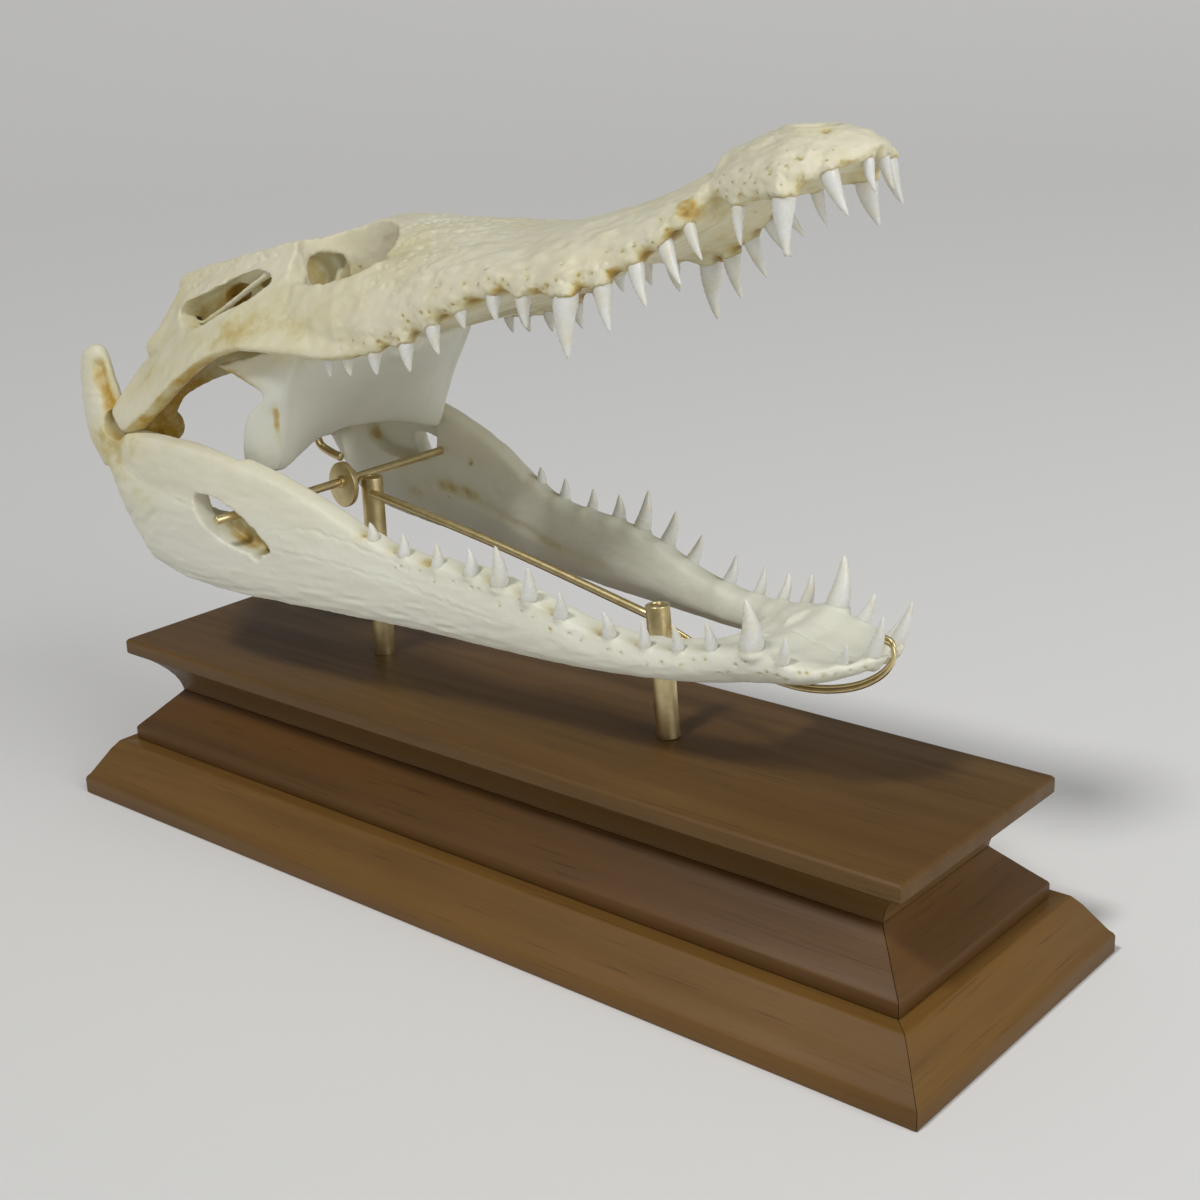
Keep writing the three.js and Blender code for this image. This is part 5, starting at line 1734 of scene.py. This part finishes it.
@dataclass(frozen=True)
class ToothFinish:
    """Enamel: white and smooth, a little warmer in patches."""

    name: str = "enamel"
    white: Colour = (0.745, 0.745, 0.70)
    warm: Colour = (0.71, 0.67, 0.53)

    def dress(self, piece: bpy.types.Object) -> None:
        """Gives a piece this finish."""
        recipe = Recipe(self.name)
        colour = recipe.blend(recipe.span(recipe.noise(130, 3), 0.45, 0.75), self.white, self.warm)
        recipe.link(colour, recipe.shader.inputs["Base Color"])
        recipe.link(recipe.span(recipe.noise(500, 3), 0.3, 0.7, 0.2, 0.34), recipe.shader.inputs["Roughness"])
        recipe.set(Subsurface_Weight=0.25, Subsurface_Radius=(1.0, 0.85, 0.7), Subsurface_Scale=0.0015,
                   Specular_IOR_Level=0.5)
        recipe.bump(recipe.noise(700, 2, 0.5, recipe.stretch((1, 1, 0.08))), 0.00003, 0.5)
        piece.data.materials.append(recipe.material)


@dataclass(frozen=True)
class BrassFinish:
    """Satin brass, a little aged."""

    name: str = "satin_brass"
    bright: Colour = (0.80, 0.67, 0.38)
    dull: Colour = (0.61, 0.49, 0.25)

    def dress(self, piece: bpy.types.Object) -> None:
        """Gives a piece this finish."""
        recipe = Recipe(self.name)
        colour = recipe.blend(recipe.span(recipe.noise(140, 4, 0.6), 0.35, 0.75), self.bright, self.dull)
        recipe.link(colour, recipe.shader.inputs["Base Color"])
        recipe.link(recipe.span(recipe.noise(700, 4), 0.3, 0.7, 0.3, 0.42), recipe.shader.inputs["Roughness"])
        recipe.set(Metallic=1.0)
        recipe.bump(recipe.noise(1200, 2), 0.000012, 0.5)
        piece.data.materials.append(recipe.material)


@dataclass(frozen=True)
class WoodFinish:
    """Oiled walnut, with long grain along each board."""

    name: str
    ground: Colour
    figure: Colour
    pore: Colour

    def recipe(self, turn: float) -> Recipe:
        """Returns the wood with its grain turned about Z."""
        recipe = Recipe(f"{self.name}_{'cross' if turn else 'long'}")
        place = recipe.stretch((0.6, 12, 12), turn)
        bands = recipe.noise(3.2, 5, 0.6, place, 0.8)
        colour = recipe.blend(recipe.span(bands, 0.36, 0.66), self.ground, self.figure)
        cloud = recipe.span(recipe.noise(7, 3), 0.35, 0.7, 0.0, 0.55)
        colour = recipe.blend(cloud, colour, self.ground)
        pores = recipe.noise(60, 3, 0.6, recipe.stretch((0.35, 12, 12), turn))
        dark = recipe.span(pores, 0.58, 0.76, 0.0, 0.6)
        colour = recipe.blend(dark, colour, self.pore)
        recipe.link(colour, recipe.shader.inputs["Base Color"])
        recipe.link(recipe.span(bands, 0.3, 0.7, 0.42, 0.56), recipe.shader.inputs["Roughness"])
        recipe.set(Specular_IOR_Level=0.28)
        recipe.bump(pores, 0.00025, 0.35)
        return recipe

    def dress(self, piece: bpy.types.Object) -> None:
        """Gives a piece this finish, with the second material across."""
        piece.data.materials.append(self.recipe(0.0).material)
        piece.data.materials.append(self.recipe(math.pi / 2).material)


# --------------------------------------------------------------------------------------------------------
# Studio
# --------------------------------------------------------------------------------------------------------

@dataclass(frozen=True)
class Studio:
    """The camera, the pale floor and the soft lights."""

    camera_place: Point = (0.5387, -0.5814, 0.3996)
    azimuth: float = 40.60
    elevation: float = 18.75
    roll: float = -2.087
    lens: float = 55.65
    floor_colour: Colour = (0.83, 0.82, 0.80)
    room_colour: Colour = (0.96, 0.98, 1.0)
    room_strength: float = 0.14

    def camera(self) -> None:
        """Sets up the camera."""
        data = bpy.data.cameras.new("camera")
        data.lens, data.sensor_width, data.sensor_fit = self.lens, 36.0, "AUTO"
        data.clip_start, data.clip_end = 0.02, 20
        camera = bpy.data.objects.new("camera", data)
        aim = (Matrix.Rotation(math.radians(self.azimuth), 4, "Z")
               @ Matrix.Rotation(math.radians(90 - self.elevation), 4, "X")
               @ Matrix.Rotation(math.radians(self.roll), 4, "Z"))
        camera.matrix_world = Matrix.Translation(self.camera_place) @ aim
        bpy.context.scene.collection.objects.link(camera)
        bpy.context.scene.camera = camera

    def floor(self) -> None:
        """Lays a pale floor that curves up into a low wall far out."""
        sheet = bmesh.new()
        flat, wide, high = 3.0, 5.0, 2.5
        levels = [(0.0, 0.0), (flat, 0.0)]
        levels += [(flat + wide * math.sin(bend), high * (1 - math.cos(bend)))
                   for bend in np.linspace(0.05, 1.5, 30)]
        stops = [sheet.verts.new((reach, 0, height)) for reach, height in levels]
        line = [sheet.edges.new(pair) for pair in zip(stops[:-1], stops[1:])]
        bmesh.ops.spin(sheet, geom=stops + line, cent=(0, 0, 0), axis=(0, 0, 1), angle=math.tau,
                       steps=128, use_merge=True)
        bmesh.ops.remove_doubles(sheet, verts=sheet.verts, dist=1e-4)
        bmesh.ops.reverse_faces(sheet, faces=[face for face in sheet.faces if face.normal.z < 0])
        piece = piece_from("floor", sheet)
        shade_smooth(piece)
        recipe = Recipe("pale_floor")
        recipe.set(Base_Color=self.floor_colour, Roughness=0.75)
        piece.data.materials.append(recipe.material)

    def sun(self, name: str, towards: Point, strength: float, spread: float) -> None:
        """Hangs an even light, wide enough for soft shadows.

        Args:
            name: its name.
            towards: the direction that it comes from.
            strength: its strength in watts to the square metre.
            spread: how wide it looks, in degrees.
        """
        data = bpy.data.lights.new(name, "SUN")
        data.energy, data.angle = strength, math.radians(spread)
        lamp = bpy.data.objects.new(name, data)
        lamp.rotation_euler = Vector(towards).to_track_quat("Z", "Y").to_euler()
        bpy.context.scene.collection.objects.link(lamp)

    def light(self, name: str, place: Point, aim: Point, size: float, power: float,
              colour: Colour) -> None:
        """Hangs a square soft light.

        Args:
            name: its name.
            place: where it hangs.
            aim: what it points at.
            size: the length of its side.
            power: its power in watts.
            colour: its colour.
        """
        data = bpy.data.lights.new(name, "AREA")
        data.size, data.energy, data.color = size, power, colour
        lamp = bpy.data.objects.new(name, data)
        lamp.location = place
        lamp.rotation_euler = (Vector(aim) - Vector(place)).to_track_quat("-Z", "Y").to_euler()
        bpy.context.scene.collection.objects.link(lamp)

    def build(self) -> None:
        """Sets up everything but the object."""
        scene = bpy.context.scene
        scene.view_settings.view_transform = "Standard"
        world = bpy.data.worlds.new("room")
        world.use_nodes = True
        room = world.node_tree.nodes["Background"].inputs
        room["Color"].default_value = (*self.room_colour, 1)
        room["Strength"].default_value = self.room_strength
        scene.world = world
        self.camera()
        self.floor()
        self.sun("key", towards=(-0.05, -0.58, 0.86), strength=1.45, spread=9)
        self.light("fill", place=(2.3, -0.3, 1.5), aim=(0.0, 0.0, 0.15), size=1.8, power=33,
                   colour=(0.98, 0.99, 1.0))


def main() -> None:
    """Builds the model and its studio."""
    logging.basicConfig(level=logging.INFO, format="%(name)s: %(message)s")
    Studio().build()
    cap = WoodFinish("walnut_cap", (0.134, 0.069, 0.018), (0.078, 0.038, 0.009), (0.034, 0.016, 0.004))
    waist = WoodFinish("walnut_waist", (0.122, 0.056, 0.013), (0.068, 0.030, 0.006), (0.028, 0.013, 0.003))
    foot = WoodFinish("walnut_foot", (0.186, 0.094, 0.021), (0.108, 0.052, 0.010), (0.046, 0.022, 0.005))
    Plinth(cap, waist, foot).build()
    Mount(BrassFinish()).build()
    Cranium(BoneFinish(), ToothFinish()).build()
    LowerJaw(BoneFinish(), ToothFinish()).build()


if __name__ == "__main__":
    main()
